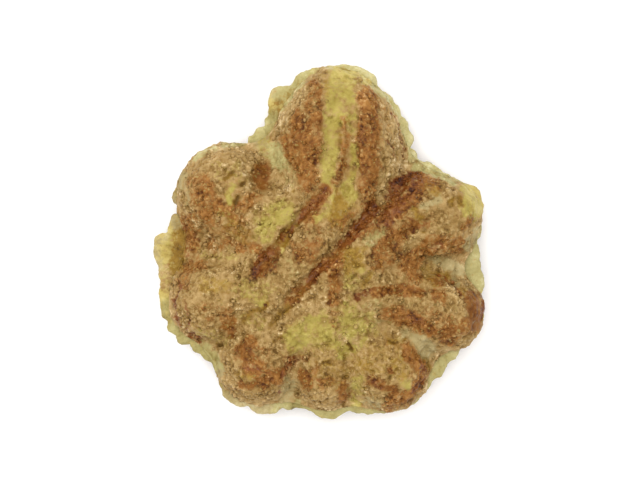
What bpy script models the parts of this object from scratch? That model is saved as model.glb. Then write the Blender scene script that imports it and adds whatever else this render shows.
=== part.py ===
"""A deep-fried maple-leaf cake, modelled at its real size.

The cake is moulded with seven rounded lobes and a broad ribbed stem round a common palm.
Its coat of batter has run into a ragged hem at mid-height, where the two halves of the mould
met, and has fried into crags. The whole is one solid. It lies on its flat underside, with the
leaf's face up and the stem towards +Y. Sizes below are in millimetres.
"""

import math
import random
from dataclasses import dataclass

import bmesh
import bpy
import numpy as np
from mathutils import Matrix, Vector, noise

MM = 0.001

HEM_HEIGHT = 8.6          # from the floor to the middle of the hem
UNDER_RISE = 10.6         # the lower domes' depth, of which the floor cuts off what is over HEM_HEIGHT
PALM_RISE = 12.4          # the face's height over the hem, at its middle
VALLEY_SOFTNESS = 1.5     # how far two domes blend where they meet
PLAN_SOFTNESS = 2.2       # the same, for the outline seen from above
TOP_CROWN = 2.7           # a dome's section: 2 is round, more is flatter on top and steeper at its side
UNDER_CROWN = 3.0
DOME_ROUNDING = 0.5
HEART = (0.2, -4.6)       # where the lobes' axes meet

SPHERE_LEVEL = 6          # subdivisions of the ball that is shaped into the cake
FACE_SHARE = 0.30         # the part of that ball, from its top, that gets finer faces
OUTLINE_STEPS = 720       # directions in which the outline is worked out
FURTHEST_REACH = 46.0
MARCH_STEP = 0.25

CRUST_SCALE = 0.28        # blisters per millimetre in the coat
CRUST_HEIGHT = 0.5
CRUST_OCTAVES = 3

HEM_THICKNESS = 2.6
HEM_STEPS = 300
HEM_WAVE = 1.0            # how far the hem wanders up and down
HEM_LIP = 0.2             # how far the hem reaches past the lobes where no batter gathered
HEM_FILL = 5.0            # how far the hem fills the notches between lobes

CRAG_COUNT = 70           # lumps along the hem
CRUMB_COUNT = 60          # lumps over the face
CRAG_SEED = 7
TRIANGLE_TARGET = 11600
SMALLEST_EDGE = 0.12
SETTLED_BELOW = 0.06

CRUST_COLOUR = (0.36, 0.21, 0.07, 1.0)
CRUST_ROUGHNESS = 0.62


@dataclass(frozen=True)
class Lobe:
    """One rounded lobe: a squared-off ellipse in plan, domed above and below the hem."""

    name: str
    x: float
    y: float
    length: float         # half of it, along the turn
    width: float          # half of it, across
    turn: float           # degrees from +X
    square: float         # 2 is an ellipse, more is boxier
    rise: float           # the dome's height over the hem

    def reach(self, x, y):
        """How far out a place is: 0 at the lobe's middle, 1 on its outline."""
        turn = math.radians(self.turn)
        along = (x - self.x) * math.cos(turn) + (y - self.y) * math.sin(turn)
        across = (y - self.y) * math.cos(turn) - (x - self.x) * math.sin(turn)
        share = np.abs(along / self.length) ** self.square + np.abs(across / self.width) ** self.square
        return share ** (1 / self.square)

    def distance(self, x, y):
        """About how far a place is outside the outline, negative inside."""
        return (self.reach(x, y) - 1) * math.sqrt(self.length * self.width)

    def dome(self, x, y, crown, rise):
        """The height of the dome over the hem, 0 outside the outline."""
        return rise * np.clip(1 - self.reach(x, y) ** crown, 0, None) ** DOME_ROUNDING


@dataclass(frozen=True)
class Line:
    """A groove, or a rib where its depth is negative, along a few points of the face."""

    name: str
    route: tuple
    width: float
    depth: float

    def cut(self, x, y):
        """How deep the line cuts at a place. It fades out at both ends."""
        nearest = np.full(np.shape(x), np.inf)
        travelled = np.zeros(np.shape(x))
        lengths = [math.dist(a, b) for a, b in zip(self.route, self.route[1:])]
        before = 0.0
        for (ax, ay), (bx, by), length in zip(self.route, self.route[1:], lengths):
            share = ((x - ax) * (bx - ax) + (y - ay) * (by - ay)) / length**2
            share = np.clip(share, 0, 1)
            gap = np.hypot(x - ax - share * (bx - ax), y - ay - share * (by - ay))
            closer = gap < nearest
            nearest = np.where(closer, gap, nearest)
            travelled = np.where(closer, before + share * length, travelled)
            before += length
        fade = np.sin(math.pi * np.clip(travelled / before, 0.04, 0.96)) ** 0.5
        return self.depth * fade * np.exp(-((nearest / self.width) ** 2))


@dataclass(frozen=True)
class Flap:
    """A stretch of the hem where batter gathered: it runs anticlockwise between two directions."""

    name: str
    start: float          # degrees from +X, about the origin
    end: float
    start_reach: float    # how far the hem comes out there
    end_reach: float
    scallop: float        # the radius of the drips that edge it


LOBES = (
    Lobe("stem", 4.0, 17.8, 18.5, 13.8, 91.5, 2.0, 11.4),
    Lobe("upper_left", -19.8, 10.1, 9.9, 10.4, 150, 2.1, 10.2),
    Lobe("left", -22.0, -12.2, 9.6, 8.9, 190, 2.0, 9.4),
    Lobe("lower_left", -12.4, -24.2, 9.8, 9.4, 235, 2.0, 9.4),
    Lobe("bottom", 1.2, -26.6, 8.2, 7.2, 270, 2.0, 8.6),
    Lobe("lower_right", 13.8, -26.0, 9.5, 9.2, 300, 2.0, 9.2),
    Lobe("right", 22.4, -14.6, 12.0, 8.5, -5, 2.3, 9.8),
    Lobe("upper_right", 21.3, 5.4, 12.4, 9.2, -9, 2.4, 10.4),
    Lobe("skirt", 0.6, -4.6, 28.4, 27.8, 0, 2.0, 7.2),
)
PALM = Lobe("palm", 0.4, -4.8, 22.4, 22.4, 0, 2.0, PALM_RISE)

LINES = (
    Line("long_groove", ((19.8, 14.8), (11.0, 7.2), (2.4, -2.6), (-9.6, -15.6)), 1.15, 2.5),
    Line("short_groove", ((1.6, 11.0), (-4.0, 5.4), (-8.4, -1.2), (-14.2, -7.0)), 1.05, 2.1),
    Line("stem_left_strip", ((5.4, 37.0), (2.6, 24.0), (1.6, 12.0)), 1.9, 1.9),
    Line("stem_right_strip", ((5.4, 37.0), (7.0, 24.0), (5.6, 12.0), (4.0, 6.0)), 1.5, 1.7),
    Line("stem_left_ridge", ((-1.6, 30.6), (-3.4, 20.0), (-4.6, 12.0)), 2.2, -0.9),
    Line("stem_right_ridge", ((10.8, 29.0), (11.4, 20.0), (9.6, 11.6)), 1.9, -0.9),
    Line("stem_right_crease", ((12.8, 27.6), (15.2, 20.0), (15.6, 16.4)), 0.8, 1.0),
    Line("left_shoulder_valley", ((-12.6, 22.6), (-7.8, 15.0), (-9.6, 7.4), (-15.0, 2.2)), 2.3, 2.0),
    Line("left_valley", ((-30.6, -1.8), (-21.0, -2.0), (-13.6, -3.8)), 2.1, 1.6),
    Line("low_left_valley", ((-23.6, -23.0), (-16.0, -16.6), (-7.4, -17.4)), 1.7, 1.4),
    Line("right_valley", ((31.6, -5.4), (20.0, -4.8), (8.0, -9.0)), 1.7, 1.5),
    Line("right_vein", ((6.8, -11.8), (12.0, -10.4), (22.0, -9.6)), 0.9, 1.2),
    Line("low_right_valley", ((24.6, -23.4), (17.4, -18.4), (10.0, -17.0)), 1.6, 1.4),
    Line("upper_right_vein", ((26.6, 6.8), (17.0, 1.2), (11.0, -3.4)), 1.0, 1.2),
    Line("upper_right_wedge", ((20.4, 11.0), (15.4, 9.6), (11.6, 5.6)), 1.5, 1.1),
    Line("bottom_left_valley", ((-5.2, -33.0), (-4.6, -25.0), (-2.0, -18.0)), 1.4, 1.4),
    Line("bottom_right_valley", ((7.8, -33.4), (7.0, -25.6), (4.4, -18.0)), 1.4, 1.4),
    Line("middle_streak", ((3.6, -5.0), (4.4, -13.4)), 0.9, 0.8),
    Line("upper_left_dent", ((-13.6, 15.0), (-12.0, 12.0)), 1.9, 1.6),
)

FLAPS = (
    Flap("right_notch", -10.0, 2.0, 33.3, 34.0, 1.9),
    Flap("upper_right_tip", 9.0, 20.0, 35.1, 34.1, 2.7),
    Flap("upper_right_shoulder", 24.0, 32.0, 33.2, 29.6, 1.9),
    Flap("stem_right_notch", 35.5, 44.0, 28.4, 27.6, 1.8),
    Flap("stem_right_edge", 47.0, 63.0, 28.6, 33.4, 1.7),
    Flap("stem_crown_right", 67.5, 72.5, 35.6, 36.6, 2.3),
    Flap("stem_crown", 76.0, 84.5, 37.1, 36.9, 2.7),
    Flap("stem_crown_left", 90.5, 96.5, 35.9, 34.9, 2.2),
    Flap("stem_left_shoulder", 101.0, 108.5, 33.4, 31.8, 2.3),
    Flap("stem_left_step", 111.0, 117.0, 28.2, 26.6, 1.8),
    Flap("upper_left_notch", 120.0, 127.0, 26.0, 26.0, 1.6),
    Flap("upper_left_bits", 163.0, 174.0, 31.6, 31.2, 1.6),
    Flap("left_flap", 179.6, 187.0, 34.0, 34.9, 2.7),
    Flap("left_hem", 192.0, 210.0, 33.8, 36.2, 2.2),
    Flap("lower_left_corner", 214.6, 216.2, 36.2, 36.0, 1.4),
    Flap("lower_left_notch", 221.0, 231.0, 34.4, 34.5, 2.1),
    Flap("lower_left_hem", 237.0, 243.0, 37.4, 37.3, 1.9),
    Flap("bottom_hem_left", 247.0, 254.0, 36.9, 36.6, 2.1),
    Flap("bottom_hem", 263.5, 277.0, 36.2, 37.2, 2.1),
    Flap("bottom_hem_right", 283.0, 292.0, 36.4, 38.0, 1.9),
    Flap("lower_right_notch", 310.0, 321.0, 37.0, 36.6, 2.0),
)


def smooth_least(a, b, softness):
    """The lesser of two fields, blended where they are close."""
    share = np.clip(0.5 + 0.5 * (b - a) / softness, 0, 1)
    return b + (a - b) * share - softness * share * (1 - share)


def outline_distance(x, y, softness=PLAN_SOFTNESS):
    """How far a place is outside the cake's outline, negative inside."""
    distance = PALM.distance(x, y)
    for lobe in LOBES:
        distance = smooth_least(distance, lobe.distance(x, y), softness)
    return distance


def face_height(x, y):
    """The height of the moulded face over the hem."""
    height = PALM.dome(x, y, TOP_CROWN, PALM.rise)
    for lobe in LOBES:
        height = -smooth_least(-height, -lobe.dome(x, y, TOP_CROWN, lobe.rise), VALLEY_SOFTNESS)
    carved = sum(line.cut(x, y) for line in LINES)
    return height - carved * np.clip(height / PALM.rise, 0, 1)


def under_depth(x, y):
    """How deep the underside would go below the hem, with nothing cut off."""
    depth = PALM.dome(x, y, UNDER_CROWN, UNDER_RISE)
    for lobe in LOBES:
        depth = -smooth_least(-depth, -lobe.dome(x, y, UNDER_CROWN, UNDER_RISE), VALLEY_SOFTNESS)
    return depth


def scallops():
    """The drips along every flap, as (x, y, radius), spaced by their own size."""
    rng = random.Random(CRAG_SEED)
    found = []
    for flap in FLAPS:
        arc = math.radians(flap.end - flap.start) * (flap.start_reach + flap.end_reach) / 2
        count = max(1, round(arc / (1.5 * flap.scallop)))
        for i in range(count + 1):
            share = i / count
            angle = math.radians(flap.start + share * (flap.end - flap.start))
            radius = flap.scallop * rng.uniform(0.85, 1.15)
            reach = flap.start_reach + share * (flap.end_reach - flap.start_reach) - radius
            reach += rng.uniform(-0.25, 0.25)
            found.append((reach * math.cos(angle), reach * math.sin(angle), radius))
    return found


def hem_distance(x, y):
    """How far a place is outside the hem's outline, negative inside."""
    distance = outline_distance(x, y, HEM_FILL) - HEM_LIP
    for drip_x, drip_y, radius in scallops():
        distance = smooth_least(distance, np.hypot(x - drip_x, y - drip_y) - radius, 0.9)
    return distance


def reach_table(distance):
    """The outline's furthest reach from the heart, in OUTLINE_STEPS directions."""
    angles = np.linspace(-math.pi, math.pi, OUTLINE_STEPS + 1)

    def outside(reach):
        return distance(HEART[0] + reach * np.cos(angles), HEART[1] + reach * np.sin(angles)) > 0

    reach = np.full(angles.shape, FURTHEST_REACH)
    while outside(reach).any():
        reach = np.where(outside(reach), reach - MARCH_STEP, reach)
    low, high = reach, reach + MARCH_STEP
    for _ in range(12):
        middle = (low + high) / 2
        beyond = outside(middle)
        low, high = np.where(beyond, low, middle), np.where(beyond, middle, high)
    return angles, low


def positions(bm):
    """The vertices' places as an array of rows."""
    return np.array([v.co for v in bm.verts])


def move_to(bm, places):
    """Puts each vertex at its row of an array."""
    for vert, place in zip(bm.verts, places):
        vert.co = place


def roughen(bm, height, scale, octaves):
    """Pushes the surface in and out along its normals, as frying blisters batter."""
    bm.normal_update()
    pushed = []
    for vert in bm.verts:
        swell = noise.fractal(vert.co * scale, 0.7, 2.1, octaves)
        pushed.append(vert.co + vert.normal * (height * swell))
    move_to(bm, pushed)


def settle(bm, height):
    """Flattens onto the floor whatever lies lower than this height."""
    for vert in bm.verts:
        if vert.co.z < height:
            vert.co.z = 0


def object_from(bm, name, collection):
    """A new object in a collection, from a bmesh in millimetres."""
    bmesh.ops.recalc_face_normals(bm, faces=bm.faces[:])
    mesh = bpy.data.meshes.new(name)
    bm.to_mesh(mesh)
    bm.free()
    obj = bpy.data.objects.new(name, mesh)
    collection.objects.link(obj)
    return obj


def cake(collection):
    """The moulded cake: a ball whose upper half takes the face and whose lower half the underside."""
    bm = bmesh.new()
    bmesh.ops.create_icosphere(bm, subdivisions=SPHERE_LEVEL, radius=1.0)
    top = [e for e in bm.edges if min(v.co.z for v in e.verts) > 1 - 2 * FACE_SHARE]
    bmesh.ops.subdivide_edges(bm, edges=top, cuts=1, use_grid_fill=True)
    bmesh.ops.triangulate(bm, faces=[f for f in bm.faces if len(f.verts) > 3])
    for vert in bm.verts:
        vert.co.normalize()
    ball = positions(bm)
    angles, reaches = reach_table(outline_distance)
    reach = np.interp(np.arctan2(ball[:, 1], ball[:, 0]), angles, reaches)
    x = HEART[0] + ball[:, 0] * reach
    y = HEART[1] + ball[:, 1] * reach
    z = np.where(ball[:, 2] > 0, face_height(x, y), -under_depth(x, y))
    move_to(bm, np.column_stack((x, y, HEM_HEIGHT + z)))
    bmesh.ops.smooth_vert(bm, verts=bm.verts[:], factor=0.5, use_axis_x=True, use_axis_y=True, use_axis_z=True)
    roughen(bm, CRUST_HEIGHT, CRUST_SCALE, CRUST_OCTAVES)
    settle(bm, 0)
    return object_from(bm, "fried_maple_cake", collection)


def hem(collection):
    """The hem: a thin round-edged plate, spun from its half section and drawn out to the ragged outline."""
    bm = bmesh.new()
    half = HEM_THICKNESS / 2
    section = [(0.0, half), (0.5, half)]
    section += [(1.0, half * math.sin(math.radians(a))) for a in (90, 50, 0, -50, -90)]
    section += [(0.5, -half), (0.0, -half)]
    verts = [bm.verts.new((share, 0.0, z)) for share, z in section]
    edges = [bm.edges.new(pair) for pair in zip(verts, verts[1:])]
    bmesh.ops.spin(
        bm, geom=verts + edges, axis=(0, 0, 1), cent=(0, 0, 0), angle=2 * math.pi, steps=HEM_STEPS, use_merge=True
    )
    bmesh.ops.remove_doubles(bm, verts=bm.verts[:], dist=1e-5)
    plate = positions(bm)
    angle = np.arctan2(plate[:, 1], plate[:, 0])
    share = np.hypot(plate[:, 0], plate[:, 1])
    angles, reaches = reach_table(hem_distance)
    edge_round = half * (1 - np.sqrt(np.clip(1 - (plate[:, 2] / half) ** 2, 0, 1)))
    reach = share * (np.interp(angle, angles, reaches) - edge_round)
    x = HEART[0] + reach * np.cos(angle)
    y = HEART[1] + reach * np.sin(angle)
    wave = np.array([noise.noise(Vector((a, b, 3.0)) * 0.12) for a, b in zip(x, y)])
    thick = np.array([1 + 0.35 * noise.noise(Vector((a, b, 9.0)) * 0.3) for a, b in zip(x, y)])
    move_to(bm, np.column_stack((x, y, HEM_HEIGHT + HEM_WAVE * wave + plate[:, 2] * thick)))
    roughen(bm, 0.5 * CRUST_HEIGHT, 1.7 * CRUST_SCALE, 2)
    return object_from(bm, "hem", collection)


def crag(collection, place, radii, turn, seed):
    """A lump of fried batter."""
    bm = bmesh.new()
    bmesh.ops.create_icosphere(bm, subdivisions=2, radius=1.0)
    bmesh.ops.scale(bm, vec=radii, verts=bm.verts[:])
    bmesh.ops.rotate(bm, matrix=Matrix.Rotation(turn, 3, "Z"), verts=bm.verts[:])
    bmesh.ops.translate(bm, vec=place, verts=bm.verts[:])
    for vert in bm.verts:
        swell = noise.noise(vert.co * 0.55 + Vector((seed, 0, 0)))
        vert.co += (vert.co - Vector(place)) * 0.35 * swell
    return object_from(bm, f"crag_{seed}", collection)


def crags(collection):
    """Lumps along the hem and over the face by a seeded rule, and the larger ones at their places."""
    rng = random.Random(CRAG_SEED)
    angles, reaches = reach_table(hem_distance)
    for i in range(CRAG_COUNT):
        angle = 2 * math.pi * (i + rng.uniform(-0.4, 0.4)) / CRAG_COUNT - math.pi
        size = rng.uniform(0.8, 1.7)
        reach = float(np.interp(angle, angles, reaches)) - size * rng.uniform(0.9, 1.8)
        place = (
            HEART[0] + reach * math.cos(angle),
            HEART[1] + reach * math.sin(angle),
            HEM_HEIGHT + rng.uniform(-0.9, 0.9),
        )
        crag(collection, place, (size, size * rng.uniform(0.7, 1.1), size * 0.8), angle, i)
    for i in range(CRUMB_COUNT):
        angle = rng.uniform(-math.pi, math.pi)
        reach = float(np.interp(angle, angles, reaches)) * math.sqrt(rng.uniform(0.02, 0.8))
        x = HEART[0] + reach * math.cos(angle)
        y = HEART[1] + reach * math.sin(angle)
        size = rng.uniform(0.8, 1.5)
        height = HEM_HEIGHT + float(face_height(x, y)) - 0.45 * size
        crag(collection, (x, y, height), (size, size * rng.uniform(0.6, 1.0), size * 0.6), angle, CRAG_COUNT + i)
    named = (
        ((-17.2, 12.4, HEM_HEIGHT + 8.9), (1.5, 3.4, 1.3), -0.25),
        ((-14.8, 16.6, HEM_HEIGHT + 8.2), (1.7, 1.1, 0.9), 0.5),
        ((31.2, 8.6, HEM_HEIGHT + 2.2), (2.9, 3.1, 2.6), 0.0),
        ((29.0, 7.6, HEM_HEIGHT + 6.6), (1.4, 2.2, 1.0), 0.5),
        ((-32.0, -1.8, HEM_HEIGHT + 0.4), (2.3, 2.9, 1.9), 0.0),
        ((5.4, 33.2, HEM_HEIGHT + 3.4), (3.0, 2.4, 2.6), 0.0),
        ((-8.6, 30.2, HEM_HEIGHT + 0.6), (2.2, 2.3, 1.8), 0.4),
    )
    for i, (place, radii, turn) in enumerate(named):
        crag(collection, place, radii, turn, CRAG_COUNT + CRUMB_COUNT + i)


def applied(obj):
    """The object with its modifiers turned into its mesh."""
    bpy.context.view_layer.update()
    evaluated = obj.evaluated_get(bpy.context.evaluated_depsgraph_get())
    mesh = bpy.data.meshes.new_from_object(evaluated)
    obj.modifiers.clear()
    obj.data = mesh
    return obj


def fuse(body, extras):
    """Joins the body and everything in a collection into one solid."""
    union = body.modifiers.new("fuse", "BOOLEAN")
    union.operation = "UNION"
    union.operand_type = "COLLECTION"
    union.collection = extras
    union.solver = "MANIFOLD"
    applied(body)
    for extra in list(extras.objects):
        bpy.data.objects.remove(extra)
    bpy.data.collections.remove(extras)


def drop_scraps(bm):
    """Keeps only the largest closed surface: no loose scrap outside it and no bubble within it."""
    left = set(bm.verts)
    shells = []
    while left:
        waiting = [left.pop()]
        shell = list(waiting)
        while waiting:
            vert = waiting.pop()
            beside = {e.other_vert(vert) for e in vert.link_edges} & left
            left -= beside
            waiting.extend(beside)
            shell.extend(beside)
        shells.append(shell)
    shells.sort(key=len)
    scraps = [vert for shell in shells[:-1] for vert in shell]
    bmesh.ops.delete(bm, geom=scraps, context="VERTS")


def thin_out(body):
    """Keeps triangles where the form needs them, down to the target."""
    reduce = body.modifiers.new("reduce", "DECIMATE")
    body.data.calc_loop_triangles()
    reduce.ratio = TRIANGLE_TARGET / len(body.data.loop_triangles)
    reduce.use_collapse_triangulate = True
    applied(body)


def finish(body):
    """Drops scraps, levels the flat rest, centres the body on its box and brings it to metres."""
    bm = bmesh.new()
    bm.from_mesh(body.data)
    bmesh.ops.dissolve_degenerate(bm, dist=SMALLEST_EDGE, edges=bm.edges[:])
    drop_scraps(bm)
    settle(bm, SETTLED_BELOW)
    bmesh.ops.triangulate(bm, faces=bm.faces[:])
    places = positions(bm)
    low, high = places.min(0), places.max(0)
    middle = Vector(((low[0] + high[0]) / 2, (low[1] + high[1]) / 2, 0))
    bmesh.ops.translate(bm, vec=-middle, verts=bm.verts[:])
    bmesh.ops.scale(bm, vec=(MM, MM, MM), verts=bm.verts[:])
    bm.to_mesh(body.data)
    bm.free()
    body.data.shade_smooth()


def crust_material():
    """The browned coat's plain colour."""
    material = bpy.data.materials.new("fried_crust")
    material.use_nodes = True
    shader = material.node_tree.nodes["Principled BSDF"]
    shader.inputs["Base Color"].default_value = CRUST_COLOUR
    shader.inputs["Roughness"].default_value = CRUST_ROUGHNESS
    shader.inputs["Metallic"].default_value = 0.0
    return material


def main():
    """Clears the scene and builds the one solid."""
    for obj in list(bpy.data.objects):
        bpy.data.objects.remove(obj)
    scene = bpy.context.scene.collection
    extras = bpy.data.collections.new("extras")
    scene.children.link(extras)
    body = cake(scene)
    hem(extras)
    crags(extras)
    fuse(body, extras)
    thin_out(body)
    finish(body)
    body.data.materials.append(crust_material())


main()
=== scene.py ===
"""Dresses a deep-fried maple-leaf cake: its crackled coat, its ragged hem of batter and its crumbs.

The cake is drawn in millimetres, seen from above with its stem away from the viewer and the middle
of its outline at the origin, and is brought to metres at the end. Height is measured from the floor.
"""

from __future__ import annotations

import logging
import math
import random
from collections.abc import Callable
from dataclasses import dataclass, field
from enum import Enum

import bmesh
import bpy
import numpy as np
from mathutils import Matrix, Vector, noise

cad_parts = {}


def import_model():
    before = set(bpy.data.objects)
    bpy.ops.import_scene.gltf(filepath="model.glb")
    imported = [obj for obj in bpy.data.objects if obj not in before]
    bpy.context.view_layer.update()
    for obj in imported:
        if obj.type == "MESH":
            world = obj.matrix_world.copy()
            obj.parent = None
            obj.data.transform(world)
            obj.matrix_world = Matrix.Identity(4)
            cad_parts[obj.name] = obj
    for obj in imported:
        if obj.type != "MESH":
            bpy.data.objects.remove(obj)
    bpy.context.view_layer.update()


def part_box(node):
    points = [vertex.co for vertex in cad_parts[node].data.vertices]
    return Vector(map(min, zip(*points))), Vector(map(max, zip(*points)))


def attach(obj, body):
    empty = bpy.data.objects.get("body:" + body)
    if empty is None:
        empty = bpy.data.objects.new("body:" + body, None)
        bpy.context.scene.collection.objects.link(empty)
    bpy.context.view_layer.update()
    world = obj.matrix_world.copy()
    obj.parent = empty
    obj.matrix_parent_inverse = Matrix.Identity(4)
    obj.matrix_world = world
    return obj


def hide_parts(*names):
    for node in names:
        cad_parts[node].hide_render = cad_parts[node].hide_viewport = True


LOG = logging.getLogger("maple_cake")
MM = 0.001
CAKE_NODE = "fried_maple_cake"
HEM_HEIGHT = 8.6
TINY = 1e-6

Route = tuple[tuple[float, float], ...]
Field = Callable[[np.ndarray, np.ndarray], np.ndarray]
Colour = tuple[int, int, int]
Socket = bpy.types.NodeSocket


class Tone(Enum):
    """The looks that the fried coat takes from place to place."""

    FLOURED = "floured"
    BROWNED = "browned"
    BATTER = "batter"
    # Ochre oil-steeped batter, and also painted shade in the left flap's fold, in pits and in creases.
    STEEPED_AND_SHADED = "steeped"
    WEB = "web"
    PASTE = "paste"
    DRIPPED = "dripped"
    # Dark red-brown in the grooves, partly scorching and partly painted shade, and painted shadow in creases
    # and hollows along the rims.
    SCORCH_AND_SHADOW = "scorched"


FLOURED, BROWNED, BATTER, STEEPED_AND_SHADED, WEB, PASTE, DRIPPED, SCORCH_AND_SHADOW = Tone


@dataclass(frozen=True)
class Lobe:
    """One rounded lobe: a squared-off ellipse in plan, domed above and below the hem."""

    name: str
    x: float
    y: float
    length: float
    width: float
    turn: float
    square: float
    rise: float

    def reach(self, x: np.ndarray, y: np.ndarray) -> np.ndarray:
        """Measures how far out a place is.

        Args:
            x: Places to the right, in millimetres.
            y: Places towards the stem.

        Returns:
            0 at the lobe's middle and 1 on its outline.
        """
        turn = math.radians(self.turn)
        along = (x - self.x) * math.cos(turn) + (y - self.y) * math.sin(turn)
        across = (y - self.y) * math.cos(turn) - (x - self.x) * math.sin(turn)
        share = np.abs(along / self.length) ** self.square + np.abs(across / self.width) ** self.square
        return share ** (1 / self.square)

    def distance(self, x: np.ndarray, y: np.ndarray) -> np.ndarray:
        """Returns about how far each place (x, y) is outside the outline, negative inside."""
        return (self.reach(x, y) - 1) * math.sqrt(self.length * self.width)

    def dome(self, x: np.ndarray, y: np.ndarray, crown: float, rise: float) -> np.ndarray:
        """Gives the height of the dome over the hem.

        Args:
            x: Places to the right.
            y: Places towards the stem.
            crown: 2 for a round dome, more for a flatter top and steeper sides.
            rise: The height at the middle.

        Returns:
            The heights, 0 outside the outline.
        """
        return rise * np.sqrt(np.clip(1 - self.reach(x, y) ** crown, 0, None))


def follow(route: Route, x: np.ndarray, y: np.ndarray) -> tuple[np.ndarray, np.ndarray]:
    """Finds the nearest part of a route.

    Args:
        route: The route's points.
        x: Places to the right.
        y: Places towards the stem.

    Returns:
        Each place's distance from the route, and the share of the route passed there.
    """
    if len(route) == 1:
        return np.hypot(x - route[0][0], y - route[0][1]), np.full(np.shape(x), 0.5)
    nearest = np.full(np.shape(x), np.inf)
    travelled = np.zeros(np.shape(x))
    before = 0.0
    for (ax, ay), (bx, by) in zip(route, route[1:]):
        length = math.dist((ax, ay), (bx, by))
        share = np.clip(((x - ax) * (bx - ax) + (y - ay) * (by - ay)) / length**2, 0, 1)
        gap = np.hypot(x - ax - share * (bx - ax), y - ay - share * (by - ay))
        closer = gap < nearest
        nearest = np.where(closer, gap, nearest)
        travelled = np.where(closer, before + share * length, travelled)
        before += length
    return nearest, travelled / before


@dataclass(frozen=True)
class Groove:
    """A groove along a route on the face, or a ridge where its depth is negative."""

    name: str
    route: Route
    width: float
    depth: float
    end_share: float = 0.04

    def cut(self, x: np.ndarray, y: np.ndarray) -> np.ndarray:
        """Measures how deep the groove cuts, which fades at both ends.

        Args:
            x: Places to the right, in millimetres.
            y: Places towards the stem.

        Returns:
            The depth at each place.
        """
        gap, passed = follow(self.route, x, y)
        fade = np.sqrt(np.sin(math.pi * np.clip(passed, self.end_share, 1 - self.end_share)))
        return self.depth * fade * np.exp(-((gap / self.width) ** 2))


@dataclass(frozen=True)
class Daub:
    """A patch or stroke of one tone on the coat.

    Its shade is negative where it is darker than its tone usually is; on rims it is painted light,
    and in creases, hollows and pits it is painted shade. Its sink is negative where it stands up, and
    smooth is the share of the crumbs that it hides. Later daubs lie over earlier ones.
    """

    name: str
    tone: Tone
    half_width: float
    strength: float
    route: Route
    shade: float = 0.0
    sink: float = 0.0
    smooth: float = 0.0
    least_fade: float = 0.5
    fade_share: float = 0.8

    def cover(self, x: np.ndarray, y: np.ndarray) -> np.ndarray:
        """Measures how fully the daub covers each place.

        Args:
            x: Places to the right, in millimetres.
            y: Places towards the stem.

        Returns:
            The cover, from 0 to the daub's strength.
        """
        gap, _ = follow(self.route, x, y)
        fade = self.least_fade + self.fade_share * self.half_width
        share = np.clip((self.half_width + fade / 2 - gap) / fade, 0, 1)
        return self.strength * share * share * (3 - 2 * share)


def smooth_least(a: np.ndarray, b: np.ndarray, softness: float) -> np.ndarray:
    """Takes the lesser of two fields.

    Args:
        a: One field.
        b: The other.
        softness: How far they blend where they are close.

    Returns:
        The blended lesser field.
    """
    share = np.clip(0.5 + 0.5 * (b - a) / softness, 0, 1)
    return b + (a - b) * share - softness * share * (1 - share)


def above(values: np.ndarray, depth: float) -> np.ndarray:
    """Returns 0 where a value is below minus a depth, 1 where it is 0 or more, and even steps between."""
    return np.clip(1 + values / depth, 0, 1)


@dataclass(frozen=True)
class Swell:
    """A smooth noise over the cake.

    Its scale is its swells per millimetre, its seed tells it from others, its octaves are how many
    noises it holds, each finer than the last, and its gain is about how far it goes from 0.
    """

    scale: float
    seed: float
    octaves: int = 1
    gain: float = 1.0
    seed_steps: tuple[float, float, float] = (1.0, 2.3, -1.7)
    fading: float = 0.8
    fineness: float = 2.0

    def at(self, places: np.ndarray) -> np.ndarray:
        """Reads the noise.

        Args:
            places: Rows of x, y, z in millimetres.

        Returns:
            One value a row.
        """
        offset = Vector([self.seed * step for step in self.seed_steps])
        spots = [Vector(place) * self.scale + offset for place in places]
        if self.octaves == 1:
            values = [noise.noise(spot) for spot in spots]
        else:
            values = [noise.fractal(spot, self.fading, self.fineness, self.octaves) for spot in spots]
        return self.gain * np.array(values)


@dataclass(frozen=True)
class Pebbles:
    """A field of rounded bumps, as close-packed crumbs make.

    Its scale is its crumbs per millimetre, its seed tells it from others, and its reach is how far
    a crumb goes, in shares of the crumbs' spacing.
    """

    scale: float
    seed: float
    reach: float = 0.62

    def at(self, places: np.ndarray) -> np.ndarray:
        """Reads the field.

        Args:
            places: Rows of x, y, z in millimetres.

        Returns:
            1 at a crumb's middle, down to 0 between crumbs.
        """
        offset = Vector((self.seed, self.seed, self.seed))
        nearest = np.array([noise.voronoi(Vector(place) * self.scale + offset)[0][0] for place in places])
        return np.clip(1 - (nearest / self.reach) ** 2, 0, 1)


LOBES: tuple[Lobe, ...] = (
    Lobe("stem", 4.0, 17.8, 18.5, 13.8, 91.5, 2.0, 11.4),
    Lobe("upper_left", -19.8, 10.1, 9.9, 10.4, 150, 2.1, 10.2),
    Lobe("left", -22.0, -12.2, 9.6, 8.9, 190, 2.0, 9.4),
    Lobe("lower_left", -12.4, -24.2, 9.8, 9.4, 235, 2.0, 9.4),
    Lobe("bottom", 1.2, -26.6, 8.2, 7.2, 270, 2.0, 8.6),
    Lobe("lower_right", 13.8, -26.0, 9.5, 9.2, 300, 2.0, 9.2),
    Lobe("right", 22.4, -14.6, 12.0, 8.5, -5, 2.3, 9.8),
    Lobe("upper_right", 21.3, 5.4, 12.4, 9.2, -9, 2.4, 10.4),
    Lobe("skirt", 0.6, -4.6, 28.4, 27.8, 0, 2.0, 7.2),
)
PALM: Lobe = Lobe("palm", 0.4, -4.8, 22.4, 22.4, 0, 2.0, 12.4)

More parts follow.
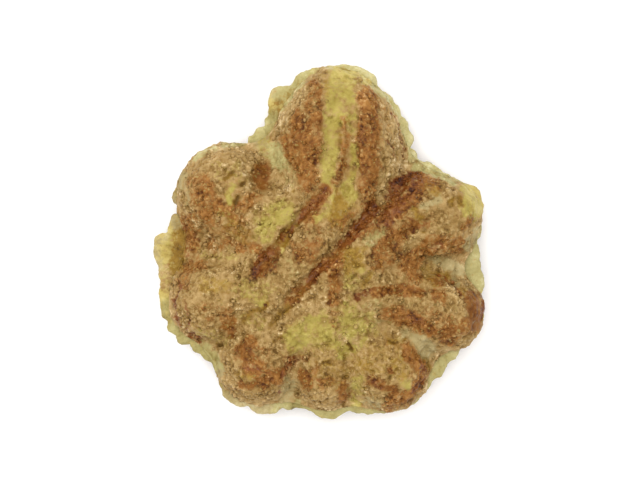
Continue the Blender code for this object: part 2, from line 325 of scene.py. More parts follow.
GROOVES: tuple[Groove, ...] = (
    Groove("long_groove", ((19.8, 14.8), (11.0, 7.2), (2.4, -2.6), (-9.6, -15.6)), 1.15, 2.5),
    Groove("short_groove", ((1.6, 11.0), (-4.0, 5.4), (-8.4, -1.2), (-14.2, -7.0)), 1.05, 2.1),
    Groove("stem_left_strip", ((5.4, 37.0), (2.6, 24.0), (1.6, 12.0)), 1.9, 1.9),
    Groove("stem_right_strip", ((5.4, 37.0), (7.0, 24.0), (5.6, 12.0), (4.0, 6.0)), 1.5, 1.7),
    Groove("stem_left_ridge", ((-1.6, 30.6), (-3.4, 20.0), (-4.6, 12.0)), 2.2, -0.9),
    Groove("stem_right_ridge", ((10.8, 29.0), (11.4, 20.0), (9.6, 11.6)), 1.9, -0.9),
    Groove("stem_right_crease", ((12.8, 27.6), (15.2, 20.0), (15.6, 16.4)), 0.8, 1.0),
    Groove("left_shoulder_valley", ((-12.6, 22.6), (-7.8, 15.0), (-9.6, 7.4), (-15.0, 2.2)), 2.3, 2.0),
    Groove("left_valley", ((-30.6, -1.8), (-21.0, -2.0), (-13.6, -3.8)), 2.1, 1.6),
    Groove("low_left_valley", ((-23.6, -23.0), (-16.0, -16.6), (-7.4, -17.4)), 1.7, 1.4),
    Groove("right_valley", ((31.6, -5.4), (20.0, -4.8), (8.0, -9.0)), 1.7, 1.5),
    Groove("right_vein", ((6.8, -11.8), (12.0, -10.4), (22.0, -9.6)), 0.9, 1.2),
    Groove("low_right_valley", ((24.6, -23.4), (17.4, -18.4), (10.0, -17.0)), 1.6, 1.4),
    Groove("upper_right_vein", ((26.6, 6.8), (17.0, 1.2), (11.0, -3.4)), 1.0, 1.2),
    Groove("upper_right_wedge", ((20.4, 11.0), (15.4, 9.6), (11.6, 5.6)), 1.5, 1.1),
    Groove("bottom_left_valley", ((-5.2, -33.0), (-4.6, -25.0), (-2.0, -18.0)), 1.4, 1.4),
    Groove("bottom_right_valley", ((7.8, -33.4), (7.0, -25.6), (4.4, -18.0)), 1.4, 1.4),
    Groove("middle_streak", ((3.6, -5.0), (4.4, -13.4)), 0.9, 0.8),
    Groove("upper_left_dent", ((-13.6, 15.0), (-12.0, 12.0)), 1.9, 1.6),
)

DRIPS: tuple[tuple[float, float, float], ...] = (
    (5.0, 34.3, 2.5), (7.7, 34.1, 2.2), (10.0, 33.5, 1.8), (2.5, 34.3, 1.8), (0.0, 34.5, 1.8),
    (-2.5, 33.0, 2.6), (-4.0, 31.4, 1.8), (-7.8, 29.6, 2.8), (-9.0, 26.8, 1.6), (-10.4, 24.9, 1.0),
    (-12.1, 22.4, 1.4), (-14.0, 21.2, 0.8), (14.0, 29.3, 1.3), (15.6, 27.0, 1.3), (17.1, 24.3, 1.4),
    (18.1, 21.4, 1.5), (19.0, 17.8, 1.3), (20.8, 15.5, 1.0), (22.7, 15.1, 1.3), (24.4, 13.9, 1.1),
    (26.7, 12.6, 1.1), (29.2, 10.7, 1.5), (31.5, 9.6, 2.0), (32.1, 7.2, 1.8), (32.1, 2.0, 1.5),
    (31.9, -2.2, 1.6), (32.3, -4.9, 1.3), (32.7, -7.4, 1.5), (32.9, -9.5, 1.3), (30.9, -17.2, 1.5),
    (29.0, -19.5, 1.1), (27.3, -23.0, 1.6), (25.4, -24.9, 1.4), (24.8, -27.0, 1.0), (24.0, -26.4, 1.3),
    (22.7, -28.0, 1.0), (21.5, -29.7, 1.3), (19.0, -32.2, 1.5), (16.1, -33.5, 1.4), (13.1, -34.1, 1.5),
    (10.2, -34.3, 1.6), (7.7, -34.3, 1.4), (4.8, -34.2, 1.3), (2.7, -35.1, 1.8), (0.6, -34.9, 1.7),
    (-1.7, -33.7, 1.4), (-4.2, -33.2, 1.3), (-6.5, -33.7, 1.4), (-10.2, -33.9, 2.0), (-12.7, -33.9, 1.8),
    (-16.5, -32.8, 1.7), (-18.8, -31.6, 1.4), (-19.7, -29.1, 1.1), (-20.9, -26.0, 1.0), (-23.1, -23.5, 1.4),
    (-25.4, -21.8, 1.3), (-28.3, -20.1, 1.4), (-30.4, -17.8, 1.3), (-31.7, -14.9, 1.3), (-31.7, -12.8, 1.4),
    (-31.9, -10.7, 1.5), (-31.5, -8.9, 1.4), (-31.9, -6.8, 1.5), (-31.9, -4.5, 1.7), (-32.6, -2.4, 2.0),
    (-32.1, -0.3, 1.7), (-33.1, 0.1, 1.1), (-30.2, 2.6, 1.3), (-29.9, 4.5, 1.1), (-29.6, 9.3, 1.1),
)

COAT_DAUBS: tuple[Daub, ...] = (
    # Stem
    Daub("stem_left_brown_top", BROWNED, 1.9, 0.9, ((-1.0, 31.6), (-1.5, 27.0))),
    Daub("stem_left_brown", BROWNED, 3.5, 0.98, ((-2.9, 24.1), (-4.0, 20.7), (-3.1, 17.0)), -0.04),
    Daub("stem_left_brown_low", BROWNED, 2.3, 0.5, ((-2.7, 15.9), (-1.7, 12.0)), 0.03),
    Daub("stem_left_brown_side", BROWNED, 1.3, 0.95, ((-0.8, 27.0), (-0.8, 19.1)), 0.01),
    Daub("stem_left_dark_edge", SCORCH_AND_SHADOW, 0.5, 0.4, ((0.2, 27.8), (0.0, 19.5))),
    Daub("stem_left_mid_pale", FLOURED, 0.8, 0.5, ((-3.5, 27.2), (-2.9, 25.7)), 0.04),
    Daub("stem_left_crumbs", FLOURED, 1.3, 0.85, ((-4.0, 30.7), (-6.0, 28.0), (-8.5, 24.9)), 0.18),
    Daub("stem_left_margin", WEB, 0.8, 0.7, ((-3.5, 33.2), (-6.0, 30.5), (-8.1, 27.8)), 0.06),
    Daub("stem_right_brown", BROWNED, 2.1, 1.0, ((10.2, 30.3), (10.4, 27.4)), 0.28),
    Daub("stem_right_brown_mid", BROWNED, 2.5, 1.0, ((10.4, 24.9), (10.2, 21.6), (9.8, 16.6)), -0.08),
    Daub("stem_right_brown_top", BROWNED, 1.5, 0.6, ((10.6, 30.1), (12.3, 28.2), (13.5, 26.2))),
    Daub("stem_right_brown_low", BROWNED, 2.1, 0.88, ((10.0, 15.9), (10.0, 11.8), (10.2, 8.7)), -0.08),
    Daub("stem_strip_top", BATTER, 3.1, 1.0, ((5.0, 34.9), (4.6, 31.6), (4.4, 27.8)), -0.02, smooth=0.5),
    Daub("stem_strip_top_left", STEEPED_AND_SHADED, 0.8, 0.5, ((1.5, 34.1), (1.5, 30.7))),
    Daub("stem_strip_crown", DRIPPED, 2.7, 0.6, ((5.2, 37.0), (5.2, 34.1)), smooth=0.7),
    Daub("stem_crown_left", PASTE, 1.0, 0.85, ((2.1, 36.2),), 0.34),
    Daub("stem_strip_pit", BATTER, 0.5, 1.0, ((5.6, 33.9),), -0.34, sink=0.25),
    Daub("stem_strip_left", BATTER, 1.6, 0.95,
         ((2.7, 27.0), (2.3, 21.2), (1.9, 14.9), (1.9, 11.6)), -0.02, smooth=0.3),
    Daub("stem_strip_left_pale", BATTER, 0.8, 0.6, ((2.7, 21.6), (2.5, 18.4)), 0.14, smooth=0.4),
    Daub("stem_strip_left_shade", BATTER, 0.8, 0.6, ((2.3, 16.4), (2.5, 14.7)), -0.14),
    Daub("stem_strip_brow", BATTER, 1.5, 0.8, ((3.3, 26.6), (5.8, 26.2)), 0.08, smooth=0.6),
    Daub("stem_strip_mid", BATTER, 0.8, 0.8, ((4.0, 24.1), (4.0, 19.1)), -0.2),
    Daub("stem_rib_shadow", STEEPED_AND_SHADED, 0.4, 0.85, ((4.0, 22.0), (4.0, 19.1)), -0.34, sink=0.1),
    Daub("stem_strip_right", BATTER, 0.8, 0.85, ((6.7, 27.0), (6.7, 22.4)), -0.04, smooth=0.3),
    Daub("stem_strip_right_low", BATTER, 0.8, 0.85, ((6.9, 19.5), (7.1, 15.7), (6.5, 12.4)), -0.18),
    Daub("stem_strip_base", STEEPED_AND_SHADED, 2.9, 0.88, ((4.8, 8.7), (4.0, 6.1), (2.3, 4.9)), -0.09),
    Daub("stem_strip_base_left", BATTER, 1.5, 0.9, ((1.7, 9.5), (1.0, 7.0), (-0.2, 5.3)), smooth=0.3),
    Daub("stem_base_bright", BATTER, 1.5, 0.8, ((5.6, 11.2), (6.5, 9.1)), smooth=0.3),
    Daub("stem_base_brown", BROWNED, 1.3, 0.5, ((2.3, 3.2), (5.4, 4.1), (6.9, 5.7), (8.1, 6.4))),
    Daub("stem_rib_top", BROWNED, 0.8, 0.7, ((5.2, 25.1), (5.2, 24.1)), 0.22, sink=-0.1, smooth=0.6),
    Daub("stem_rib", BROWNED, 0.9, 0.7,
         ((5.2, 22.8), (5.2, 19.1), (4.8, 15.7)), 0.02, sink=-0.1, smooth=0.5),
    Daub("stem_rib_low", BROWNED, 1.0, 0.85, ((4.8, 15.3), (3.5, 12.4)), -0.08),
    Daub("stem_strip_foot", STEEPED_AND_SHADED, 0.7, 0.5, ((5.8, 13.7),), -0.06),
    Daub("stem_right_dark_edge", SCORCH_AND_SHADOW, 0.4, 0.4, ((8.5, 31.2), (8.5, 21.2), (8.8, 11.8))),
    Daub("stem_right_crumbs", FLOURED, 1.9, 0.8, ((13.5, 28.2), (14.4, 24.5)), 0.12),
    Daub("stem_right_crumbs_low", FLOURED, 1.7, 0.7, ((14.8, 21.6), (14.4, 17.8))),
    Daub("stem_right_mid_pale", FLOURED, 0.8, 0.5, ((12.5, 17.6),), 0.08),
    Daub("stem_right_crumbs_outer", FLOURED, 1.0, 0.9, ((15.0, 28.2), (16.5, 24.1), (16.5, 20.3)), 0.2),
    Daub("stem_crown_right", DRIPPED, 1.3, 0.9, ((9.0, 36.2), (10.2, 33.7)), 0.06),
    Daub("stem_crown_pale", WEB, 0.9, 0.7, ((7.9, 36.6), (9.4, 35.5)), 0.28),
    Daub("stem_crown_right_web", WEB, 1.3, 0.9, ((12.1, 32.4), (12.9, 31.4)), 0.22),
    Daub("stem_right_margin", WEB, 0.9, 0.9,
         ((12.3, 32.8), (14.4, 30.3), (16.1, 27.8), (17.7, 24.5), (19.0, 20.7), (19.4, 17.8)), 0.14),
    Daub("stem_right_margin_pale", WEB, 0.9, 0.9, ((14.8, 29.9), (16.3, 28.0), (17.9, 24.5)), 0.3),
    # Painted shadow in the creases along the stem's right rim.
    Daub("stem_right_crease", SCORCH_AND_SHADOW, 0.3, 0.6,
         ((15.0, 26.8), (16.3, 24.1), (17.3, 19.9), (17.7, 17.4)), sink=0.3),
    Daub("stem_right_crease_inner", SCORCH_AND_SHADOW, 0.3, 0.6,
         ((14.0, 20.7), (15.2, 18.7), (16.1, 16.2)), sink=0.2),
    Daub("stem_foot_spot", SCORCH_AND_SHADOW, 0.8, 0.6, ((13.3, 14.7),), sink=0.2),
    Daub("stem_foot_batter", BATTER, 1.7, 0.6, ((14.4, 12.2), (13.1, 9.7))),
    # Grooves
    Daub("long_groove_wedge", BROWNED, 2.7, 0.98,
         ((20.2, 12.4), (18.1, 9.5), (16.3, 7.0), (13.5, 4.5)), -0.16),
    Daub("long_groove_wedge_dark", SCORCH_AND_SHADOW, 2.1, 0.68,
         ((19.8, 12.8), (17.7, 10.3), (15.6, 7.4), (14.4, 5.7))),
    Daub("long_groove_wedge_low", SCORCH_AND_SHADOW, 0.9, 0.65, ((15.8, 6.4), (14.4, 5.3)), -0.04),
    Daub("long_groove_pink", SCORCH_AND_SHADOW, 0.5, 0.8, ((14.0, 3.4), (11.9, 3.4), (9.8, 3.2)), 0.02),
    Daub("long_groove_pink_low", BROWNED, 0.9, 0.85, ((8.5, 1.1), (9.8, 2.2), (12.3, 2.6)), -0.12),
    Daub("long_groove_head", SCORCH_AND_SHADOW, 1.0, 1.0,
         ((19.6, 14.3), (17.5, 13.4), (15.6, 12.0)), -0.12, sink=0.3),
    Daub("long_groove_corner", SCORCH_AND_SHADOW, 0.5, 0.95, ((16.9, 13.0), (15.8, 12.2)), -0.4, sink=0.2),
    Daub("long_groove_crumbs", FLOURED, 1.1, 0.95, ((14.4, 15.3), (14.0, 12.0), (12.3, 9.3)), 0.06),
    Daub("stem_foot_pale", FLOURED, 1.1, 0.98, ((15.4, 16.4), (17.7, 15.7)), 0.3, sink=-0.2),
    Daub("long_groove_top", SCORCH_AND_SHADOW, 0.8, 0.6, ((15.6, 11.2), (14.0, 9.1))),
    Daub("long_groove_bulge", SCORCH_AND_SHADOW, 1.3, 1.0, ((10.8, 7.0), (9.8, 5.5))),
    Daub("long_groove", SCORCH_AND_SHADOW, 1.0, 1.0,
         ((11.3, 7.0), (9.4, 5.1), (7.7, 2.8), (5.4, -0.1), (2.3, -3.9), (-0.2, -5.9), (-2.7, -8.4))),
    Daub("long_groove_side", SCORCH_AND_SHADOW, 0.8, 0.75, ((10.0, 4.3), (8.3, 2.6), (6.5, 1.1)), -0.04),
    Daub("long_groove_crumbs_low", FLOURED, 0.5, 0.9, ((12.3, 8.9), (12.1, 7.8)), 0.12, sink=-0.1),
    Daub("long_groove_low", SCORCH_AND_SHADOW, 0.8, 0.95, ((-2.7, -8.4), (-4.8, -10.7), (-6.3, -13.0))),
    Daub("long_groove_low_ochre", STEEPED_AND_SHADED, 0.8, 0.55,
         ((-3.5, -9.7), (-5.6, -12.0), (-7.3, -14.3)), -0.38, sink=0.1),
    Daub("long_groove_end", STEEPED_AND_SHADED, 0.5, 0.9,
         ((-6.0, -12.8), (-7.5, -14.5), (-9.2, -16.4)), -0.42, sink=0.2),
    Daub("long_groove_tail", STEEPED_AND_SHADED, 0.4, 0.8, ((-9.2, -16.4), (-10.4, -17.8)), -0.3, sink=0.2),
    Daub("low_crease", STEEPED_AND_SHADED, 0.3, 0.8, ((-9.4, -20.7), (-7.7, -19.9), (-6.0, -19.3)), -0.35, sink=0.2),
    Daub("long_groove_side_red", BROWNED, 1.9, 0.9, ((4.0, -3.0), (2.3, -4.3))),
    Daub("long_groove_red", SCORCH_AND_SHADOW, 0.9, 0.85, ((3.1, -4.1), (0.6, -5.1)), 0.08),
    Daub("long_groove_side_low", BROWNED, 1.5, 0.6, ((-3.3, -8.9), (-5.6, -11.8))),
    Daub("between_grooves_brown", BROWNED, 2.7, 0.5, ((-1.0, 0.3), (-1.9, -2.2)), -0.2, smooth=0.2),
    Daub("between_grooves_left", BROWNED, 1.0, 0.65, ((-5.2, -0.9), (-4.0, -3.9)), -0.1),
    Daub("short_groove_halo", BROWNED, 1.3, 0.5, ((1.3, 10.3), (-4.0, 4.5), (-8.8, -0.9))),
    Daub("short_groove_side", BROWNED, 1.0, 0.6, ((-0.6, 6.6), (-2.3, 4.1)), -0.04),
    Daub("short_groove", BROWNED, 0.9, 0.95, ((1.3, 10.7), (-0.2, 8.2), (-2.7, 6.1)), -0.12),
    Daub("short_groove_red", SCORCH_AND_SHADOW, 0.7, 0.75, ((1.3, 10.7), (-0.6, 7.8), (-3.1, 5.7))),
    Daub("short_groove_low", SCORCH_AND_SHADOW, 0.6, 0.9, ((-3.1, 5.7), (-4.2, 4.5), (-5.0, 3.2)), sink=0.2),
    Daub("short_groove_olive", STEEPED_AND_SHADED, 0.8, 0.9,
         ((-5.2, 3.2), (-6.9, 1.6), (-8.3, -0.3)), -0.36, sink=0.1),
    Daub("short_groove_olive_side", STEEPED_AND_SHADED, 0.7, 0.85, ((-7.1, -0.1), (-7.9, -1.4)), -0.22),
    Daub("short_groove_thread", SCORCH_AND_SHADOW, 0.5, 0.85,
         ((-5.4, 2.8), (-6.9, 1.6), (-8.3, -0.3)), 0.05, sink=0.1),
    Daub("short_groove_patch", BROWNED, 1.7, 1.0,
         ((-10.2, -2.4), (-11.3, -4.3), (-12.7, -6.1)), -0.2, smooth=0.35),
    Daub("short_groove_patch_side", BROWNED, 1.3, 0.92, ((-9.2, -2.6), (-9.8, -5.3)), -0.24),
    Daub("short_groove_speck", DRIPPED, 0.4, 1.0, ((-7.7, -1.8),), smooth=0.6),
    Daub("short_groove_patch_dark", SCORCH_AND_SHADOW, 0.9, 0.85,
         ((-10.0, -1.8), (-11.9, -3.9), (-13.1, -5.9)), sink=0.2, smooth=0.3),
    Daub("short_groove_patch_tail", SCORCH_AND_SHADOW, 0.5, 0.85, ((-13.1, -5.9), (-14.4, -8.7))),
    # Upper left lobe
    Daub("upper_left_brown", BROWNED, 2.7, 0.72, ((-24.4, 11.6), (-23.6, 8.7), (-21.9, 6.1))),
    Daub("upper_left_brown_top", BROWNED, 1.0, 0.5, ((-23.3, 14.3), (-22.7, 12.4))),
    Daub("upper_left_rim", PASTE, 0.9, 0.75, ((-28.3, 13.7), (-29.0, 11.2)), -0.06),
    Daub("upper_left_rim_corner", PASTE, 0.8, 0.8, ((-29.2, 14.7), (-28.8, 13.4)), -0.16),
    Daub("upper_left_rim_low", FLOURED, 0.8, 0.7, ((-28.8, 9.5), (-28.8, 7.0)), -0.14),
    Daub("upper_left_rim_inner", FLOURED, 1.0, 0.7, ((-26.9, 7.6), (-26.3, 5.5)), 0.18),
    Daub("upper_left_rim_pale", PASTE, 0.6, 0.5, ((-27.3, 11.6), (-27.5, 9.9), (-27.3, 7.8)), 0.06),
    Daub("upper_left_rim_brown", BROWNED, 0.6, 0.55, ((-25.8, 9.5), (-26.1, 7.8))),
    Daub("upper_left_rim_web", WEB, 0.8, 0.8, ((-25.4, 17.4), (-23.8, 18.7), (-21.9, 19.5)), 0.2),
    Daub("upper_left_rim_top", WEB, 0.7, 0.7, ((-19.8, 20.1), (-16.1, 20.3)), 0.14),
    Daub("upper_left_brown_low", BROWNED, 2.7, 0.8, ((-22.7, 6.1), (-18.6, 4.1), (-16.9, 2.0))),
    Daub("upper_left_low_pale", FLOURED, 0.9, 0.5, ((-21.3, 4.5),), 0.06),
    Daub("upper_left_brown_edge", BROWNED, 1.9, 0.7, ((-27.3, 4.1), (-26.5, 0.7))),
    Daub("upper_left_hollow", BROWNED, 1.7, 1.0,
         ((-11.5, 15.1), (-11.5, 12.2)), -0.16, sink=0.2, smooth=0.5),
    Daub("upper_left_hollow_low", BROWNED, 1.1, 0.6, ((-12.3, 9.5), (-14.0, 8.0), (-15.6, 7.4)), -0.02),
    Daub("upper_left_orange", BROWNED, 1.7, 0.6, ((-14.0, 9.5), (-16.9, 5.7))),
    Daub("upper_left_top", FLOURED, 1.7, 0.65, ((-21.9, 17.6), (-15.2, 18.0)), 0.1),
    Daub("upper_left_mid", FLOURED, 1.5, 0.5, ((-20.2, 15.3), (-19.0, 14.1)), 0.1),
    Daub("upper_left_batter", BATTER, 2.5, 0.3, ((-20.2, 14.5), (-16.5, 14.5))),
    Daub("upper_left_hollow_side", FLOURED, 0.9, 0.85, ((-15.0, 15.3), (-15.0, 10.7)), 0.24),
    Daub("upper_left_blob", BATTER, 0.7, 0.9,
         ((-17.5, 11.6), (-18.6, 9.9), (-18.3, 8.0)), 0.02, sink=-0.3, smooth=0.4),
    # Painted shade in the pits.
    Daub("upper_left_pit", STEEPED_AND_SHADED, 0.5, 1.0, ((-15.8, 12.0),), -0.85, sink=0.4),
    Daub("upper_left_pit_low", STEEPED_AND_SHADED, 0.5, 0.95, ((-16.5, 9.3), (-17.3, 8.0)), -0.5, sink=0.4),
    Daub("upper_left_pit_top", STEEPED_AND_SHADED, 0.5, 0.9, ((-19.0, 13.2), (-18.1, 13.7)), -0.4, sink=0.3),
    Daub("upper_left_ochre", BATTER, 1.3, 0.3, ((-19.6, 5.7), (-14.4, 5.3))),
    # Shoulder valley beside the stem
    Daub("shoulder_batter_edge", PASTE, 1.7, 1.0, ((-11.9, 23.2), (-13.1, 21.2)), 0.04, smooth=0.7),
    Daub("shoulder_edge_pale", PASTE, 1.4, 0.7, ((-12.3, 21.4), (-11.0, 19.1)), 0.16, smooth=0.5),
    Daub("shoulder_batter_top", BATTER, 1.7, 0.5, ((-11.5, 20.3), (-10.2, 19.1)), smooth=0.4),
    Daub("shoulder_top_pale", WEB, 1.3, 0.8, ((-9.6, 19.5), (-8.5, 16.6)), 0.12, smooth=0.3),
    Daub("shoulder_stem_edge", BROWNED, 0.8, 0.85, ((-7.3, 21.2), (-6.5, 17.4))),
    Daub("shoulder_web", WEB, 1.4, 0.7, ((-8.3, 16.2), (-6.7, 13.9), (-5.8, 12.4)), 0.05),
    Daub("shoulder_crumbs", FLOURED, 1.7, 0.65, ((-6.9, 13.2), (-6.3, 11.2)), 0.24),
    Daub("shoulder_crumbs_low", FLOURED, 1.0, 0.6, ((-7.3, 9.5),), -0.08),
    Daub("shoulder_batter_low", BATTER, 2.7, 0.92, ((-7.5, 6.1), (-10.6, 4.3), (-11.0, 2.0))),
    Daub("shoulder_speckle", BROWNED, 1.5, 0.65, ((-2.9, 14.1), (-3.3, 11.2))),
    Daub("shoulder_speckle_pale", FLOURED, 0.7, 0.6, ((-0.4, 11.4),), 0.08),
    Daub("shoulder_speckle_low", FLOURED, 0.7, 0.6, ((-4.2, 7.8),), 0.08),
    Daub("between_grooves_olive", WEB, 1.7, 0.3, ((-7.3, -4.3), (-5.2, -6.8)), -0.06),
    Daub("between_grooves_shade", FLOURED, 1.0, 0.6, ((-7.9, -4.3), (-7.3, -5.9)), -0.18),
    Daub("between_grooves_pale", FLOURED, 1.0, 0.75, ((-4.4, 2.0), (-2.9, 1.1)), 0.02),
    Daub("between_grooves_pale_right", FLOURED, 1.1, 0.75, ((0.8, 3.6), (1.5, 2.0)), 0.06),
    Daub("between_grooves_pale_low", FLOURED, 1.0, 0.6, ((-4.0, -6.4), (-4.2, -8.0)), 0.06),
    # Left valley and left lobe
    Daub("left_valley_batter", BATTER, 1.3, 0.35, ((-25.8, -2.2), (-17.5, -3.0))),
    Daub("left_rim_steeped", STEEPED_AND_SHADED, 1.0, 0.9, ((-28.1, 1.6), (-28.6, -1.8), (-29.2, -5.3)), -0.28),
    # Painted shadow along the line where the coat meets the left flap.
    Daub("left_rim_dark", SCORCH_AND_SHADOW, 0.8, 0.6, ((-28.1, 2.8), (-27.7, -0.1), (-27.5, -2.6)), sink=0.2),
    Daub("left_rim_brown", BROWNED, 1.1, 0.6, ((-26.3, 0.7), (-26.1, -4.3)), -0.04),
    Daub("left_valley_pale", FLOURED, 1.7, 0.55, ((-15.4, 4.9), (-15.0, 3.2)), 0.16),
    Daub("left_valley_pale_low", FLOURED, 1.0, 0.6, ((-18.6, 1.1), (-17.3, 0.1)), 0.08),
    Daub("left_valley_speckle", SCORCH_AND_SHADOW, 1.0, 0.3, ((-25.6, 0.3), (-22.3, 0.3))),
    Daub("left_valley_spot", SCORCH_AND_SHADOW, 0.5, 0.7, ((-16.5, -1.8), (-15.2, -2.0)), sink=0.2),
    Daub("left_valley_brown", BROWNED, 1.5, 0.4, ((-23.8, 1.6), (-18.6, 0.1))),
    Daub("left_valley_shade", BROWNED, 1.0, 0.5, ((-22.9, -1.1), (-20.6, -1.4))),
    Daub("left_valley_red", BROWNED, 1.3, 0.8, ((-16.5, -0.9), (-13.1, -1.6))),
    Daub("valley_left_olive", STEEPED_AND_SHADED, 1.9, 0.4, ((-18.1, 3.2), (-15.2, 1.1)), -0.12),
    Daub("left_arc", BROWNED, 1.3, 0.8, ((-28.6, -8.0), (-26.5, -5.1), (-24.0, -4.7)), -0.04),
    Daub("left_rim_pale", FLOURED, 0.8, 0.8, ((-31.3, -7.6), (-31.7, -10.5)), 0.22),
    Daub("left_arc_low", FLOURED, 1.0, 0.6, ((-22.9, -7.2), (-20.2, -6.4)), 0.18),
    Daub("left_ochre_top", STEEPED_AND_SHADED, 1.7, 0.55, ((-23.6, -8.9), (-19.4, -8.9)), 0.2),
    Daub("left_ochre", BROWNED, 1.9, 0.3, ((-25.2, -12.6), (-23.6, -13.4))),
    Daub("left_shade", FLOURED, 1.0, 0.6, ((-26.9, -9.3), (-25.8, -11.4)), -0.08),
    Daub("left_corner", BROWNED, 0.8, 0.6, ((-27.7, -9.5), (-26.9, -8.7)), -0.06),
    Daub("left_pale", FLOURED, 1.7, 0.4, ((-17.3, -12.8), (-18.6, -13.9)), 0.1),
    Daub("left_pale_steeped", STEEPED_AND_SHADED, 1.0, 0.35, ((-20.2, -12.0),)),
    Daub("left_orange", BROWNED, 1.9, 0.45, ((-24.0, -14.7), (-19.6, -14.7))),
    Daub("left_orange_pale", FLOURED, 1.0, 0.6, ((-25.2, -15.1), (-24.4, -15.5)), 0.08),
    Daub("left_brown_bit", BROWNED, 1.5, 0.95, ((-18.8, -16.4), (-18.8, -18.9))),
    # Painted shadow in the creases along the left lobe's rim.
    Daub("left_rim_crease", SCORCH_AND_SHADOW, 0.4, 0.75,
         ((-29.0, -8.9), (-30.2, -11.8), (-30.2, -15.3), (-29.0, -17.6)), sink=0.3),
    Daub("left_rim_crease_inner", SCORCH_AND_SHADOW, 0.3, 0.6,
         ((-27.7, -12.2), (-26.9, -15.9), (-27.3, -18.4)), sink=0.2),
    Daub("left_low_batter", BATTER, 1.7, 0.4, ((-23.8, -18.9), (-20.2, -20.1))),
    Daub("left_low_rim", SCORCH_AND_SHADOW, 0.6, 0.8, ((-26.9, -19.7), (-24.8, -20.5)), sink=0.2),
    Daub("low_left_web", WEB, 1.7, 0.9,
         ((-23.8, -22.6), (-22.3, -24.7), (-21.5, -26.2)), -0.12, smooth=0.6),
    Daub("low_left_web_foot", PASTE, 0.9, 0.8, ((-21.1, -27.4),), -0.16),
    # Centre, left of the long groove
    Daub("centre_left_batter", BATTER, 2.7, 0.4, ((-15.2, -10.1), (-10.6, -10.3)), -0.12),
    Daub("centre_left_pale", BATTER, 1.3, 0.5, ((-14.0, -12.0), (-11.9, -11.8))),
    Daub("centre_left_crumbs", FLOURED, 1.0, 0.7, ((-16.1, -12.6), (-15.2, -13.4)), 0.14),
    Daub("centre_left_batter_low", BATTER, 1.7, 0.4, ((-15.4, -15.9), (-11.9, -16.8))),
    Daub("centre_left_bright", FLOURED, 1.3, 0.7, ((-9.4, -12.2),), 0.1),
    Daub("centre_left_bright_side", BATTER, 0.8, 0.8, ((-11.3, -12.6),), 0.1),
    Daub("centre_left_bright_low", FLOURED, 1.0, 0.6, ((-9.4, -15.7),), 0.08),
    Daub("centre_left_specks", STEEPED_AND_SHADED, 0.5, 0.85,
         ((-15.8, -16.4), (-14.0, -14.3), (-11.9, -13.9), (-10.6, -12.8)), -0.3, sink=0.2),
    Daub("centre_left_speck", SCORCH_AND_SHADOW, 0.4, 0.6, ((-11.0, -13.0),), sink=0.2),
    # Lower left lobe
    Daub("lower_left_brown_top", BROWNED, 1.3, 0.9, ((-14.4, -20.1), (-15.2, -21.8)), -0.04),
    Daub("lower_left_side", BROWNED, 0.9, 0.5, ((-17.7, -24.3),)),
    Daub("lower_left_top_side", BROWNED, 1.0, 0.5, ((-13.1, -20.7), (-12.1, -22.6))),
    Daub("lower_left_brown", BROWNED, 1.9, 1.0, ((-15.6, -21.8), (-14.4, -23.9), (-13.1, -26.0)), -0.12),
    Daub("lower_left_pink", BROWNED, 1.9, 0.35, ((-10.6, -23.0), (-10.2, -25.1))),
    Daub("lower_left_orange", BROWNED, 1.5, 1.0, ((-15.2, -26.2), (-11.9, -27.0)), 0.03),
    Daub("lower_left_ochre", STEEPED_AND_SHADED, 1.3, 0.5, ((-16.3, -27.8), (-14.4, -28.5))),
    Daub("lower_left_red", SCORCH_AND_SHADOW, 0.8, 0.75, ((-14.8, -26.0), (-12.7, -26.2)), 0.06),
    Daub("lower_left_brown_right", BROWNED, 1.7, 0.98, ((-11.5, -27.8), (-7.7, -28.2)), -0.04),
    Daub("lower_left_red_right", SCORCH_AND_SHADOW, 0.8, 0.4, ((-11.9, -27.6), (-9.8, -28.0)), 0.1),
    Daub("lower_left_streak", BROWNED, 0.9, 0.9, ((-16.1, -29.7), (-13.5, -29.9), (-10.6, -29.9)), -0.14),
    Daub("lower_left_hollow", SCORCH_AND_SHADOW, 1.1, 0.7, ((-5.8, -24.7), (-6.3, -26.2), (-7.1, -27.6)), sink=0.3),
    Daub("lower_left_foot", FLOURED, 1.3, 0.7, ((-14.8, -31.8), (-8.1, -31.4)), -0.08),
    # Bottom lobe
    Daub("bottom_left_web", PASTE, 1.3, 0.7, ((-5.6, -28.5), (-6.5, -31.0), (-6.9, -33.0)), 0.06),
    Daub("bottom_left_ridge", FLOURED, 0.6, 0.7, ((-4.6, -26.0), (-5.4, -28.0)), 0.05, sink=-0.2),
    Daub("bottom_web_foot", WEB, 1.0, 0.8, ((-4.6, -33.9),), -0.3),
    Daub("bottom_brown", BROWNED, 1.3, 0.95, ((-3.3, -27.6), (-2.5, -29.7)), -0.08),
    Daub("bottom_tan", FLOURED, 1.9, 0.65, ((0.6, -30.5), (2.3, -30.5)), 0.16, sink=-0.2),
    Daub("bottom_top_brown", BROWNED, 1.9, 0.6, ((-1.0, -27.6), (1.5, -28.9)), -0.04),
    Daub("bottom_brown_right", BROWNED, 1.2, 0.95, ((4.6, -29.7), (5.0, -32.6)), -0.06),
    Daub("bottom_dark_line", SCORCH_AND_SHADOW, 0.5, 0.8, ((-0.2, -28.5), (2.3, -28.2)), sink=0.2),
    Daub("bottom_hollow", SCORCH_AND_SHADOW, 0.6, 0.5, ((-4.8, -24.1), (-2.7, -24.1)), 0.1, sink=0.2),
    # Centre, right of the long groove
    Daub("centre_batter_left", BATTER, 3.1, 0.95,
         ((-4.4, -20.1), (-1.5, -18.4), (0.6, -17.6)), -0.04, smooth=0.3),
    Daub("centre_batter_bright", DRIPPED, 1.5, 0.3, ((-1.5, -19.3), (-0.4, -18.0))),
